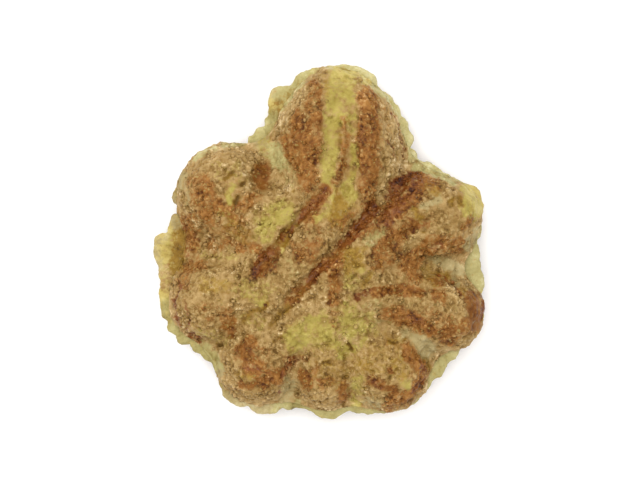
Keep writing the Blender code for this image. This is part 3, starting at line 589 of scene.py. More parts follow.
    Daub("centre_batter_low", BATTER, 2.5, 0.75, ((2.7, -20.1), (6.9, -18.9))),
    Daub("lower_olive", STEEPED_AND_SHADED, 5.4, 0.36, ((3.3, -25.1), (12.3, -23.0)), -0.02),
    Daub("lower_olive_right", STEEPED_AND_SHADED, 1.0, 0.5, ((8.8, -25.1), (10.2, -26.0))),
    Daub("centre_batter_right", BATTER, 2.9, 0.75, ((5.8, -14.7), (6.5, -17.2), (6.0, -20.1)), -0.05),
    Daub("centre_pale_right", WEB, 2.1, 0.3, ((11.0, -12.2), (11.5, -15.9)), -0.02),
    Daub("centre_right_shade", FLOURED, 1.0, 0.6, ((13.5, -17.6),), -0.08),
    Daub("centre_right_bright", BATTER, 1.7, 0.45, ((9.8, -15.5), (10.4, -19.3)), 0.06),
    Daub("centre_batter_high", STEEPED_AND_SHADED, 2.1, 0.8, ((6.9, -3.0), (6.7, -5.9)), -0.02),
    Daub("centre_high_side", STEEPED_AND_SHADED, 0.8, 0.5, ((9.0, -5.1),), -0.08),
    Daub("centre_high_olive", BATTER, 1.9, 0.7, ((6.5, -8.4), (8.5, -7.2)), -0.06),
    Daub("centre_olive_line", STEEPED_AND_SHADED, 0.6, 0.7,
         ((14.0, -3.2), (11.0, -5.7), (9.0, -8.9)), -0.15, sink=0.2),
    Daub("centre_batter_top", WEB, 1.5, 0.5, ((12.7, 1.6), (10.2, -0.1)), -0.04),
    Daub("centre_batter_top_low", STEEPED_AND_SHADED, 0.8, 0.45, ((9.4, -1.4),)),
    Daub("centre_streak", BROWNED, 1.3, 0.98, ((3.1, -6.8), (3.1, -9.7), (2.7, -12.2))),
    Daub("centre_streak_low", BROWNED, 1.0, 0.4, ((2.9, -14.7), (3.1, -17.4))),
    # Upper right lobe
    Daub("upper_right_ochre", STEEPED_AND_SHADED, 1.3, 0.65, ((22.7, 11.2), (24.0, 10.3)), -0.16),
    Daub("upper_right_pale", FLOURED, 0.8, 0.75, ((24.4, 13.2), (26.9, 12.0)), 0.2),
    Daub("upper_right_brown", BROWNED, 1.3, 0.98, ((23.1, 4.7), (19.4, 3.4), (17.3, 1.8)), -0.12),
    Daub("upper_right_brown_high", BROWNED, 1.3, 0.8, ((19.4, 6.1), (16.9, 4.5)), -0.06),
    Daub("upper_right_brown_low", BROWNED, 1.3, 0.85, ((17.3, 1.8), (14.8, 0.3), (12.3, -2.2))),
    Daub("upper_right_brown_side", BROWNED, 2.5, 0.72, ((15.2, -1.4), (12.3, -3.9)), -0.04),
    Daub("upper_right_brown_foot", BROWNED, 0.9, 0.6, ((14.6, -3.4), (14.8, -4.3)), -0.06),
    Daub("upper_right_top_brown", BROWNED, 1.3, 0.5, ((22.1, 12.4), (24.8, 11.6))),
    Daub("upper_right_top_dark", SCORCH_AND_SHADOW, 0.5, 0.35, ((22.1, 13.2), (24.4, 12.2)), sink=0.1),
    Daub("upper_right_top_pale", FLOURED, 0.8, 0.7, ((25.6, 11.6), (27.3, 10.7)), 0.04),
    Daub("upper_right_batter", PASTE, 0.9, 0.8, ((24.8, 8.7), (23.1, 8.0), (21.1, 7.0)), 0.05),
    Daub("upper_right_batter_end", STEEPED_AND_SHADED, 0.7, 0.85, ((19.4, 6.4), (20.6, 4.9)), -0.26, sink=0.1),
    Daub("upper_right_patch", FLOURED, 0.8, 0.6, ((18.6, 5.7), (15.6, 3.6))),
    Daub("upper_right_tan", FLOURED, 2.5, 0.5, ((25.2, 4.9), (28.3, 3.2)), -0.02),
    Daub("upper_right_side", FLOURED, 1.0, 0.8, ((31.1, 2.0), (30.6, -1.4)), 0.1),
    Daub("upper_right_side_paste", PASTE, 0.8, 0.85, ((32.5, 2.4), (32.7, -0.9)), 0.12),
    Daub("upper_right_end", BATTER, 2.7, 0.95, ((31.1, 10.3), (31.5, 7.0)), sink=-0.3),
    Daub("upper_right_end_drip", DRIPPED, 1.7, 0.95, ((31.5, 10.7), (32.7, 7.4)), sink=-0.2, smooth=0.6),
    Daub("upper_right_end_rim", WEB, 0.6, 0.6, ((32.5, 10.9), (33.6, 8.9)), 0.26),
    Daub("upper_right_edge", WEB, 0.8, 0.9, ((19.8, 15.7), (21.9, 15.1), (24.8, 14.1), (27.7, 12.4)), 0.08),
    Daub("upper_right_arch", FLOURED, 0.6, 0.9,
         ((25.6, 8.2), (26.5, 9.7), (27.9, 10.1), (29.0, 9.3)), 0.12, sink=-0.3),
    # Painted shade in the pits.
    Daub("upper_right_pit", STEEPED_AND_SHADED, 0.5, 0.85, ((28.8, 9.1), (29.2, 7.6)), -0.36, sink=0.4),
    Daub("upper_right_pit_pale", STEEPED_AND_SHADED, 0.8, 0.95, ((27.1, 8.0),), -0.26, sink=0.4),
    Daub("upper_right_spot", BROWNED, 0.8, 0.8, ((30.9, 4.7), (29.8, 2.6))),
    Daub("upper_right_low_brown", BROWNED, 1.9, 0.85, ((29.0, -0.5), (25.2, -0.3), (22.3, -0.9))),
    Daub("upper_right_low_red", SCORCH_AND_SHADOW, 0.8, 0.6, ((21.9, -1.1), (24.8, -0.9)), 0.1),
    Daub("upper_right_side_low", PASTE, 0.8, 0.8, ((30.9, 0.3), (30.6, -1.8)), -0.02),
    Daub("upper_right_low_left", BROWNED, 1.9, 0.95, ((21.1, -2.6), (19.0, -3.6)), -0.08),
    Daub("upper_right_speck", STEEPED_AND_SHADED, 0.4, 0.9, ((21.3, 2.0),), -0.45, sink=0.3),
    Daub("upper_right_tail", BROWNED, 1.9, 0.85, ((18.6, -4.7), (19.4, -7.0))),
    Daub("upper_right_tail_side", BROWNED, 0.9, 0.6, ((16.7, -5.9),), -0.04),
    Daub("right_valley_specks", SCORCH_AND_SHADOW, 0.4, 0.5, ((22.1, -4.3), (26.3, -3.4), (29.8, -4.3)), sink=0.1),
    Daub("right_valley_paste", PASTE, 0.8, 0.5, ((22.7, -3.6), (23.8, -3.9))),
    # Right lobe
    Daub("right_web", PASTE, 1.3, 0.9, ((27.1, -4.7), (29.2, -6.1)), 0.12),
    Daub("right_web_dark", PASTE, 1.0, 0.8, ((24.4, -4.3), (26.1, -4.7)), -0.12),
    # Painted shadow in the right lobe's crease.
    Daub("right_crease_shadow", STEEPED_AND_SHADED, 0.8, 0.7,
         ((24.4, -6.6), (26.5, -6.8), (28.3, -8.9), (29.8, -11.2)), -0.25, sink=0.3),
    Daub("right_crease_pale", FLOURED, 0.9, 0.7, ((26.5, -8.7), (27.7, -9.7), (28.8, -12.8)), 0.22),
    Daub("right_crease_paste", PASTE, 0.6, 0.75, ((27.9, -7.2), (28.6, -8.9)), 0.04),
    Daub("right_crease_brown", BROWNED, 0.8, 0.8, ((23.1, -7.8), (25.2, -8.4)), -0.14),
    Daub("right_crease_left", STEEPED_AND_SHADED, 1.3, 0.4, ((22.3, -5.5), (23.1, -8.4)), -0.1),
    Daub("right_crease", SCORCH_AND_SHADOW, 0.3, 0.7,
         ((24.0, -6.8), (26.1, -7.0), (28.1, -9.3), (29.8, -11.8)), sink=0.3),
    Daub("right_vein", SCORCH_AND_SHADOW, 0.5, 0.9, ((7.3, -11.6), (9.4, -10.7), (11.9, -9.9))),
    Daub("right_vein_outer", BROWNED, 1.1, 0.98, ((11.5, -10.3), (14.8, -9.9), (17.7, -9.9)), -0.12),
    Daub("right_vein_end", BROWNED, 1.0, 0.85, ((17.7, -9.9), (20.6, -10.5)), -0.06),
    Daub("right_orange", BROWNED, 1.3, 0.8, ((23.6, -10.9), (25.2, -11.4))),
    Daub("right_brown", BROWNED, 1.9, 0.9, ((14.4, -14.9), (16.9, -15.1)), -0.08),
    Daub("right_brown_low", BROWNED, 1.7, 0.98, ((18.1, -15.7), (20.6, -16.8), (21.9, -18.4)), -0.1),
    Daub("right_brown_dark", SCORCH_AND_SHADOW, 1.3, 0.45, ((18.6, -15.9), (20.6, -16.6))),
    Daub("right_mid_shade", BROWNED, 1.3, 0.5, ((22.3, -14.7), (23.6, -15.9))),
    Daub("right_lower_line", BROWNED, 0.8, 0.9, ((22.3, -18.9), (25.2, -18.4), (28.6, -18.0)), -0.06),
    Daub("right_speckle", BROWNED, 1.7, 0.55, ((24.8, -15.9), (29.8, -17.6))),
    Daub("right_low_brown", BROWNED, 1.5, 0.9, ((25.6, -19.9), (27.3, -20.7)), -0.04),
    Daub("right_low_pale", FLOURED, 0.8, 0.6, ((24.0, -19.9),), 0.04),
    # Painted shade on the right lobe's side, which faces away from the light, darkest at the edge.
    Daub("right_side", BROWNED, 1.7, 1.0, ((31.7, -11.8), (32.3, -14.7), (32.1, -17.4)), -0.2, smooth=0.6),
    Daub("right_side_dark", SCORCH_AND_SHADOW, 1.0, 0.35, ((32.3, -13.0), (32.7, -15.9)), -0.1, smooth=0.6),
    Daub("right_edge_dark", SCORCH_AND_SHADOW, 0.8, 0.95, ((34.2, -10.9), (34.4, -15.3)), -0.1),
    Daub("right_low_edge", FLOURED, 0.7, 0.6, ((29.8, -20.5), (32.3, -19.3)), -0.02),
    Daub("low_right_web", PASTE, 1.0, 0.75, ((17.5, -18.7), (19.4, -20.1))),
    Daub("lower_right_top_pale", FLOURED, 1.0, 0.6, ((12.9, -20.3),), 0.08),
    Daub("low_right_shadow", STEEPED_AND_SHADED, 0.7, 0.9,
         ((21.3, -23.0), (21.9, -24.5), (22.5, -26.0)), -0.35, sink=0.2),
    # Lower right lobe
    Daub("lower_right_brown_top", BROWNED, 1.3, 0.95, ((18.1, -21.8), (18.8, -23.7))),
    Daub("lower_right_rim", BROWNED, 1.3, 0.95,
         ((18.6, -22.6), (20.6, -24.7), (21.5, -26.8), (20.6, -29.7), (17.7, -32.2),
          (14.4, -33.9)), sink=-0.15),
    Daub("low_right_web_side", PASTE, 1.6, 0.95, ((20.6, -20.5), (22.7, -22.6)), 0.16),
    Daub("lower_right_rim_dark", SCORCH_AND_SHADOW, 0.5, 0.8,
         ((21.1, -24.7), (21.5, -27.2), (20.6, -29.7), (18.6, -31.4))),
    Daub("lower_right_low_brown", BROWNED, 1.3, 0.95, ((14.0, -33.5), (17.7, -32.6)), -0.04),
    Daub("lower_right_olive", STEEPED_AND_SHADED, 1.9, 0.4, ((16.1, -25.1), (16.5, -27.6)), 0.12),
    Daub("lower_right_inner", BROWNED, 1.0, 0.6, ((19.2, -26.4), (19.6, -28.5))),
    Daub("lower_right_inner_steeped", STEEPED_AND_SHADED, 0.8, 0.55, ((17.5, -27.4),), -0.1),
    Daub("lower_right_batter", BATTER, 1.0, 0.8, ((17.7, -29.1), (18.1, -29.7)), smooth=0.5),
    Daub("lower_right_streak", BROWNED, 1.1, 0.98, ((10.6, -28.5), (13.1, -29.5), (15.2, -30.3)), -0.17),
    Daub("lower_right_streak_red", BROWNED, 1.0, 0.98, ((15.0, -30.1), (15.2, -33.0)), -0.06),
    Daub("lower_right_pale", FLOURED, 0.8, 0.7, ((14.4, -28.2), (15.2, -28.5)), 0.1),
    Daub("lower_right_streak_dark", SCORCH_AND_SHADOW, 0.5, 0.6, ((9.8, -28.2), (12.3, -29.7)), sink=0.2),
    Daub("lower_right_specks", STEEPED_AND_SHADED, 0.5, 0.9, ((14.4, -20.5), (15.4, -20.7)), -0.42, sink=0.3),
    Daub("lower_right_speck", STEEPED_AND_SHADED, 0.4, 0.9, ((17.5, -20.1),), -0.35, sink=0.2),
    Daub("lower_right_spot", BROWNED, 0.5, 0.95, ((14.4, -26.0), (14.8, -26.8)), -0.14, sink=0.2),
    Daub("bottom_right_valley", BATTER, 1.3, 0.85, ((7.7, -28.5), (7.9, -33.5)), 0.1),
    Daub("bottom_right_web", PASTE, 1.0, 0.6, ((9.8, -33.0), (12.3, -33.5))),
    # Pits: small dents with painted shade in them
    Daub("centre_pitside", BATTER, 1.4, 0.9, ((5.6, -20.1), (7.1, -21.2)), 0.24),
    Daub("centre_pitside_low", BATTER, 1.0, 0.8, ((4.8, -23.5),), 0.12),
    Daub("centre_pit", STEEPED_AND_SHADED, 0.3, 1.0, ((5.8, -21.4), (6.5, -22.2)), -0.75, sink=0.3),
    Daub("centre_pit_low", STEEPED_AND_SHADED, 0.2, 0.8, ((5.4, -23.2),), -0.4, sink=0.3),
    Daub("centre_pit_right", STEEPED_AND_SHADED, 0.1, 0.8, ((7.5, -22.4),), -0.35, sink=0.3),
    Daub("centre_pit_far", STEEPED_AND_SHADED, 0.2, 0.8, ((9.0, -23.0),), -0.45, sink=0.3),
    Daub("low_speck_a", STEEPED_AND_SHADED, 0.2, 0.9, ((5.8, -28.0),), -0.5, sink=0.3),
    Daub("low_speck_b", STEEPED_AND_SHADED, 0.1, 0.7, ((5.4, -26.6),), -0.3, sink=0.3),
    Daub("low_speck_e", STEEPED_AND_SHADED, 0.1, 0.7, ((8.8, -27.0),), -0.3, sink=0.3),
    Daub("low_speck_c", STEEPED_AND_SHADED, 0.2, 0.9, ((9.4, -30.1),), -0.45, sink=0.3),
    Daub("low_speck_d", STEEPED_AND_SHADED, 0.2, 0.9, ((9.4, -32.6),), -0.45, sink=0.3),
    Daub("bottom_specks", SCORCH_AND_SHADOW, 0.2, 0.6, ((2.7, -27.2),), sink=0.2),
    Daub("shoulder_pit", STEEPED_AND_SHADED, 0.2, 0.9, ((-5.4, 10.3),), -0.4, sink=0.3),
    Daub("shoulder_pit_left", STEEPED_AND_SHADED, 0.2, 0.9, ((-7.3, 8.7),), -0.35, sink=0.3),
    Daub("shoulder_pit_low", STEEPED_AND_SHADED, 0.2, 0.8, ((-6.7, 8.0),), -0.35, sink=0.3),
    Daub("left_pit", STEEPED_AND_SHADED, 0.3, 1.0, ((-21.3, -21.6), (-20.6, -21.6)), -0.95, sink=0.4),
    Daub("lower_left_spot", SCORCH_AND_SHADOW, 0.3, 0.95, ((-8.1, -31.2),), -0.1, sink=0.4),
    Daub("bottom_pit_ring", STEEPED_AND_SHADED, 0.3, 0.95, ((0.6, -25.1), (1.9, -24.9)), -0.45, sink=0.4),
)

HEM_DAUBS: tuple[Daub, ...] = (
    Daub("left_flap", DRIPPED, 5.0, 1.0, ((-32.6, 0.0), (-32.6, -8.0)), -0.14),
    Daub("left_flap_edge", PASTE, 1.3, 0.6, ((-32.2, 1.4), (-34.2, -0.4), (-33.8, -6.0)), 0.3),
    Daub("left_edge", WEB, 2.2, 0.7, ((-29.0, -18.5), (-31.6, -14.0)), -0.2),
    Daub("left_edge_high", FLOURED, 1.8, 0.6, ((-31.4, -9.0), (-31.6, -6.5)), 0.14),
    # Painted shade where the left flap runs in under the coat's wall.
    Daub("left_flap_fold", STEEPED_AND_SHADED, 1.5, 0.6, ((-29.0, 3.0), (-29.6, -3.0), (-29.4, -6.0))),
    Daub("left_flap_inner", STEEPED_AND_SHADED, 1.8, 1.0, ((-28.0, 2.0), (-28.8, -2.2), (-28.8, -5.4)), -0.22),
    Daub("right_notch_web", WEB, 2.0, 0.8, ((27.0, -4.8), (30.5, -5.4)), -0.12),
    Daub("right_edge", WEB, 2.6, 0.9, ((32.6, 4.0), (33.2, -8.0)), 0.16),
    Daub("right_edge_end", WEB, 1.6, 0.8, ((31.8, -8.2),), -0.05),
    Daub("upper_right_edge", WEB, 2.2, 0.8, ((21.0, 15.8), (26.0, 13.8), (29.0, 11.6)), 0.28),
    Daub("lower_right_inner", STEEPED_AND_SHADED, 2.0, 0.6, ((26.5, -20.5), (21.0, -26.5)), -0.1),
    Daub("lower_right_edge", WEB, 3.0, 0.8, ((30.0, -20.5), (22.8, -28.4), (18.0, -33.0)), 0.16),
    Daub("bottom_edge", WEB, 3.0, 0.8, ((16.0, -34.5), (6.0, -35.0), (-6.0, -35.0), (-18.0, -33.5)), 0.08),
    Daub("bottom_left_edge", PASTE, 2.4, 0.85, ((-17.0, -33.6), (-12.0, -34.2)), 0.34),
    Daub("bottom_dip", WEB, 1.8, 0.9, ((-4.4, -34.2),), -0.3),
    Daub("bottom_dip_right", WEB, 1.6, 0.8, ((8.8, -35.4),), -0.1),
    Daub("lower_left_edge", PASTE, 3.0, 0.75, ((-19.6, -31.0), (-21.4, -26.0)), -0.2),
    Daub("lower_left_notch", WEB, 3.0, 0.8, ((-22.0, -25.0), (-28.6, -20.0)), -0.12),
    Daub("left_bits", PASTE, 2.0, 0.85, ((-29.6, 9.0), (-29.6, 4.4)), -0.12),
    Daub("shoulder_fold", WEB, 1.7, 0.9, ((-9.2, 26.0), (-11.0, 24.6)), -0.2),
    Daub("shoulder_edge", WEB, 2.4, 0.95, ((-12.8, 23.0), (-15.0, 20.5)), 0.18),
    Daub("stem_left_flap", PASTE, 2.6, 0.75, ((-9.0, 32.2), (-4.8, 34.0)), 0.3),
    Daub("stem_left_web", WEB, 2.4, 0.9, ((-3.0, 33.5), (-7.0, 30.5)), 0.14),
    Daub("stem_left_inner", STEEPED_AND_SHADED, 1.6, 0.35, ((-0.6, 33.4), (-4.6, 31.0), (-8.6, 27.6))),
    Daub("stem_crown", WEB, 2.6, 0.9, ((1.6, 36.6), (8.6, 36.2)), 0.34),
    Daub("stem_right_side", WEB, 2.4, 0.9, ((10.0, 35.0), (15.4, 29.3), (18.0, 23.4), (19.6, 17.0)), 0.34),
    Daub("crown_patch", FLOURED, 1.2, 0.8, ((0.6, 35.6),)),
)


@dataclass(frozen=True)
class MapleForm:
    """The moulded leaf: its outline, its face, its underside and the outline of its hem."""

    lobes: tuple[Lobe, ...] = LOBES
    palm: Lobe = PALM
    grooves: tuple[Groove, ...] = GROOVES
    drips: tuple[tuple[float, float, float], ...] = DRIPS
    heart: tuple[float, float] = (0.2, -4.6)
    valley_softness: float = 3.4
    plan_softness: float = 5.0
    face_crown: float = 2.7
    under_crown: float = 3.0
    under_rise: float = 10.6
    hem_fill: float = 4.6
    hem_lip: float = -0.25
    drip_softness: float = 1.5
    directions: int = 1440
    furthest: float = 46.0
    stride: float = 0.25
    halvings: int = 12

    def outline_distance(self, x: np.ndarray, y: np.ndarray) -> np.ndarray:
        """Returns how far each place (x, y) is outside the lobes' common outline."""
        return self.blended_distance(x, y, self.plan_softness)

    def blended_distance(self, x: np.ndarray, y: np.ndarray, softness: float) -> np.ndarray:
        """Measures places against the outline of the lobes.

        Args:
            x: Places to the right.
            y: Places towards the stem.
            softness: How far the outlines of neighbouring lobes blend.

        Returns:
            About how far each place is outside, negative inside.
        """
        distance = self.palm.distance(x, y)
        for lobe in self.lobes:
            distance = smooth_least(distance, lobe.distance(x, y), softness)
        return distance

    def height(self, x: np.ndarray, y: np.ndarray, crown: float, rise: float | None) -> np.ndarray:
        """Blends the domes of all lobes.

        Args:
            x: Places to the right.
            y: Places towards the stem.
            crown: The domes' flatness.
            rise: One height for all of them, or None for each lobe's own.

        Returns:
            The heights over or under the hem.
        """
        total = self.palm.dome(x, y, crown, rise or self.palm.rise)
        for lobe in self.lobes:
            dome = lobe.dome(x, y, crown, rise or lobe.rise)
            total = -smooth_least(-total, -dome, self.valley_softness)
        return total

    def face_height(self, x: np.ndarray, y: np.ndarray) -> np.ndarray:
        """Measures the moulded face with its grooves.

        Args:
            x: Places to the right, in millimetres.
            y: Places towards the stem.

        Returns:
            The face's height over the hem.
        """
        height = self.height(x, y, self.face_crown, None)
        carved = sum(groove.cut(x, y) for groove in self.grooves)
        return height - carved * np.clip(height / self.palm.rise, 0, 1)

    def under_depth(self, x: np.ndarray, y: np.ndarray) -> np.ndarray:
        """Returns how deep the underside would go below the hem at each place (x, y)."""
        return self.height(x, y, self.under_crown, self.under_rise)

    def hem_distance(self, x: np.ndarray, y: np.ndarray) -> np.ndarray:
        """Measures places against the hem's outline of drips.

        Args:
            x: Places to the right, in millimetres.
            y: Places towards the stem.

        Returns:
            About how far each place is outside, negative inside.
        """
        distance = self.blended_distance(x, y, self.hem_fill) - self.hem_lip
        for drip_x, drip_y, radius in self.drips:
            gap = np.hypot(x - drip_x, y - drip_y) - radius
            distance = smooth_least(distance, gap, self.drip_softness)
        return distance

    def beads(self, x: np.ndarray, y: np.ndarray) -> np.ndarray:
        """Measures how fully the drips swell the hem.

        Args:
            x: Places to the right, in millimetres.
            y: Places towards the stem.

        Returns:
            0 between the drips, up to 1 at a drip's middle.
        """
        swell = np.zeros(x.shape)
        for drip_x, drip_y, radius in self.drips:
            share = np.hypot(x - drip_x, y - drip_y) / radius
            swell = np.maximum(swell, np.clip(1 - share**2, 0, 1))
        return swell

    def reaches(self, distance: Field, angles: np.ndarray) -> np.ndarray:
        """Finds how far an outline lies from the heart.

        Args:
            distance: The outline, as a field that is negative inside.
            angles: Directions from the heart, in radians.

        Returns:
            The furthest reach of the outline in each direction.
        """
        table = np.linspace(-math.pi, math.pi, self.directions + 1)

        def outside(reach: np.ndarray) -> np.ndarray:
            """Says which reaches lie outside the outline.

            Args:
                reach: One distance from the heart for each direction of the table.

            Returns:
                True where it lies outside.
            """
            x = self.heart[0] + reach * np.cos(table)
            y = self.heart[1] + reach * np.sin(table)
            return distance(x, y) > 0

        reach = np.full(table.shape, self.furthest)
        while outside(reach).any():
            reach = np.where(outside(reach), reach - self.stride, reach)
        low, high = reach, reach + self.stride
        for _ in range(self.halvings):
            middle = (low + high) / 2
            beyond = outside(middle)
            low, high = np.where(beyond, low, middle), np.where(beyond, middle, high)
        return np.interp(angles, table, low)


CRUMBLINESS: dict[Tone, float] = {
    FLOURED: 1.0,
    BROWNED: 0.95,
    BATTER: 0.62,
    STEEPED_AND_SHADED: 0.6,
    WEB: 0.55,
    PASTE: 0.5,
    DRIPPED: 0.3,
    SCORCH_AND_SHADOW: 0.9,
}


@dataclass(frozen=True)
class Paint:
    """What the coat is like at many places: its tones, sinking, shade and crumbliness."""

    shares: dict[Tone, np.ndarray]
    sink: np.ndarray
    shade: np.ndarray
    crumbly: np.ndarray

    def store(self, mesh: bpy.types.Mesh, shade: np.ndarray, crumbly: np.ndarray) -> None:
        """Keeps the paint on a mesh, each tone as its share of itself and all tones below it.

        Args:
            mesh: The mesh, with one vertex a row.
            shade: How light the surface is, over the paint's own shade.
            crumbly: How crumbly the surface ends up.
        """
        beneath = np.zeros(len(mesh.vertices))
        for tone, share in self.shares.items():
            beneath = beneath + share
            numbers_on(mesh, tone.value, share / np.maximum(beneath, TINY))
        numbers_on(mesh, "shade", self.shade + shade)
        numbers_on(mesh, "crumbly", crumbly)


@dataclass(frozen=True)
class CoatPainter:
    """Spreads the tones over the coat: daubs where it was seen, chance where it wasn't."""

    daubs: tuple[Daub, ...]
    ground: Tone = FLOURED
    wander: float = 0.45
    wander_flatness: tuple[float, float, float] = (1.0, 1.0, 0.5)
    wander_x: tuple[Swell, Swell] = (Swell(0.45, 3.0), Swell(1.2, 11.0, gain=0.7))
    wander_y: tuple[Swell, Swell] = (Swell(0.45, 5.0), Swell(1.2, 13.0, gain=0.7))
    streak_centre: tuple[float, float] = (-2.9, -13.2)
    streak_count: float = 9.0
    streak_fade: float = 0.1
    streaks: Swell = Swell(1.0, 41.0, gain=0.3)
    blotches: Swell = Swell(0.55, 43.0, 2, 0.36)
    worn_patches: Swell = Swell(0.42, 47.0, 2)
    worn_share: float = 0.25
    worn: tuple[tuple[Tone, Tone, float], ...] = (
        (BATTER, FLOURED, 0.7),
        (DRIPPED, BATTER, 0.8),
        (BROWNED, FLOURED, 0.15),
    )
    seen_down_to: float = HEM_HEIGHT - 0.6
    seen_fade: float = 1.2
    seen_edge: Swell = Swell(0.4, 71.0, 2, 1.6)
    under_blotches: Swell = Swell(0.16, 21.0, 3, 1.6)
    under_browning: float = 0.75

    def wandered(self, places: np.ndarray) -> tuple[np.ndarray, np.ndarray]:
        """Shifts places a little, so that daubs get ragged edges.

        Args:
            places: Rows of x, y, z in millimetres.

        Returns:
            The shifted x and y.
        """
        flat = places * self.wander_flatness
        x = places[:, 0] + self.wander * sum(swell.at(flat) for swell in self.wander_x)
        y = places[:, 1] + self.wander * sum(swell.at(flat) for swell in self.wander_y)
        return x, y

    def mottle(self, places: np.ndarray) -> np.ndarray:
        """Makes blotches and streaks that run out from the leaf's foot, as the browning does.

        Args:
            places: Rows of x, y, z in millimetres.

        Returns:
            One value a row, about -0.5 to 0.5.
        """
        x = places[:, 0] - self.streak_centre[0]
        y = places[:, 1] - self.streak_centre[1]
        reach = np.hypot(x, y) + self.streak_fade
        round_x, round_y = self.streak_count * x / reach, self.streak_count * y / reach
        ring = np.column_stack((round_x, round_y, self.streak_fade * reach))
        return self.streaks.at(ring) + self.blotches.at(places)

    def paint(self, places: np.ndarray) -> Paint:
        """Works out what the coat is like at each place.

        Args:
            places: Rows of x, y, z in millimetres.

        Returns:
            The paint, one value a row for everything that it holds.
        """
        shares = {tone: np.zeros(len(places)) for tone in Tone}
        shares[self.ground] = np.ones(len(places))
        sink, shade, smooth = np.zeros((3, len(places)))
        x, y = self.wandered(places)
        for daub in self.daubs:
            cover = daub.cover(x, y)
            sink += daub.sink * cover
            shade = shade * (1 - cover) + daub.shade * cover
            smooth = smooth * (1 - cover) + daub.smooth * cover
            for tone in Tone:
                shares[tone] = shares[tone] * (1 - cover)
            shares[daub.tone] = shares[daub.tone] + cover
        moved = np.clip(self.mottle(places), -shares[BROWNED], shares[FLOURED])
        shares[BROWNED] = shares[BROWNED] + moved
        shares[FLOURED] = shares[FLOURED] - moved
        patches = np.clip(self.worn_share + self.worn_patches.at(places), 0, 1)
        for tone, under, most in self.worn:
            thin = most * patches * shares[tone]
            shares[tone] = shares[tone] - thin
            shares[under] = shares[under] + thin
        below = (self.seen_down_to - places[:, 2]) / self.seen_fade
        below = np.clip(below + self.seen_edge.at(places), 0, 1)
        fried = np.clip(0.5 + self.under_blotches.at(places), 0, 1) * self.under_browning
        unseen = {BROWNED: fried, FLOURED: 1 - fried}
        seen = 1 - below
        mixed = {tone: share * seen + unseen.get(tone, 0.0) * below for tone, share in shares.items()}
        crumbly = sum(CRUMBLINESS[tone] * share for tone, share in mixed.items())
        return Paint(mixed, sink * seen, shade * seen, crumbly * (1 - smooth * seen))


def linear(colour: Colour, lit: float = 1.0) -> tuple[float, float, float, float]:
    """Turns a display colour into the linear colour that shaders take.

    Args:
        colour: Red, green and blue, 0 to 255, as they look.
        lit: How brightly the surface is lit.

    Returns:
        The surface's own colour.
    """
    # The numbers below are those that displays use.
    parts = [c / 255 for c in colour]
    shades = [(p / 12.92 if p <= 0.04045 else ((p + 0.055) / 1.055) ** 2.4) / lit for p in parts]
    return shades[0], shades[1], shades[2], 1.0


@dataclass(frozen=True)
class Shades:
    """One tone's display colours, from the painted shade in its holes to the painted highlights on its
    crumbs.
    """

    pit: Colour
    dark: Colour
    light: Colour
    painted_glint: Colour
    dark_stop: float = 0.3
    light_stop: float = 0.7


@dataclass(frozen=True)
class Grain:
    """A soft noise in a finish.

    Its size is a share of the finish's own grain, its detail how many finer noises it holds, its
    shift tells it from others, and its twist is how far it is wrung out of round.
    """

    size: float
    detail: float
    shift: float
    twist: float = 0.0
    roughness: float = 0.6


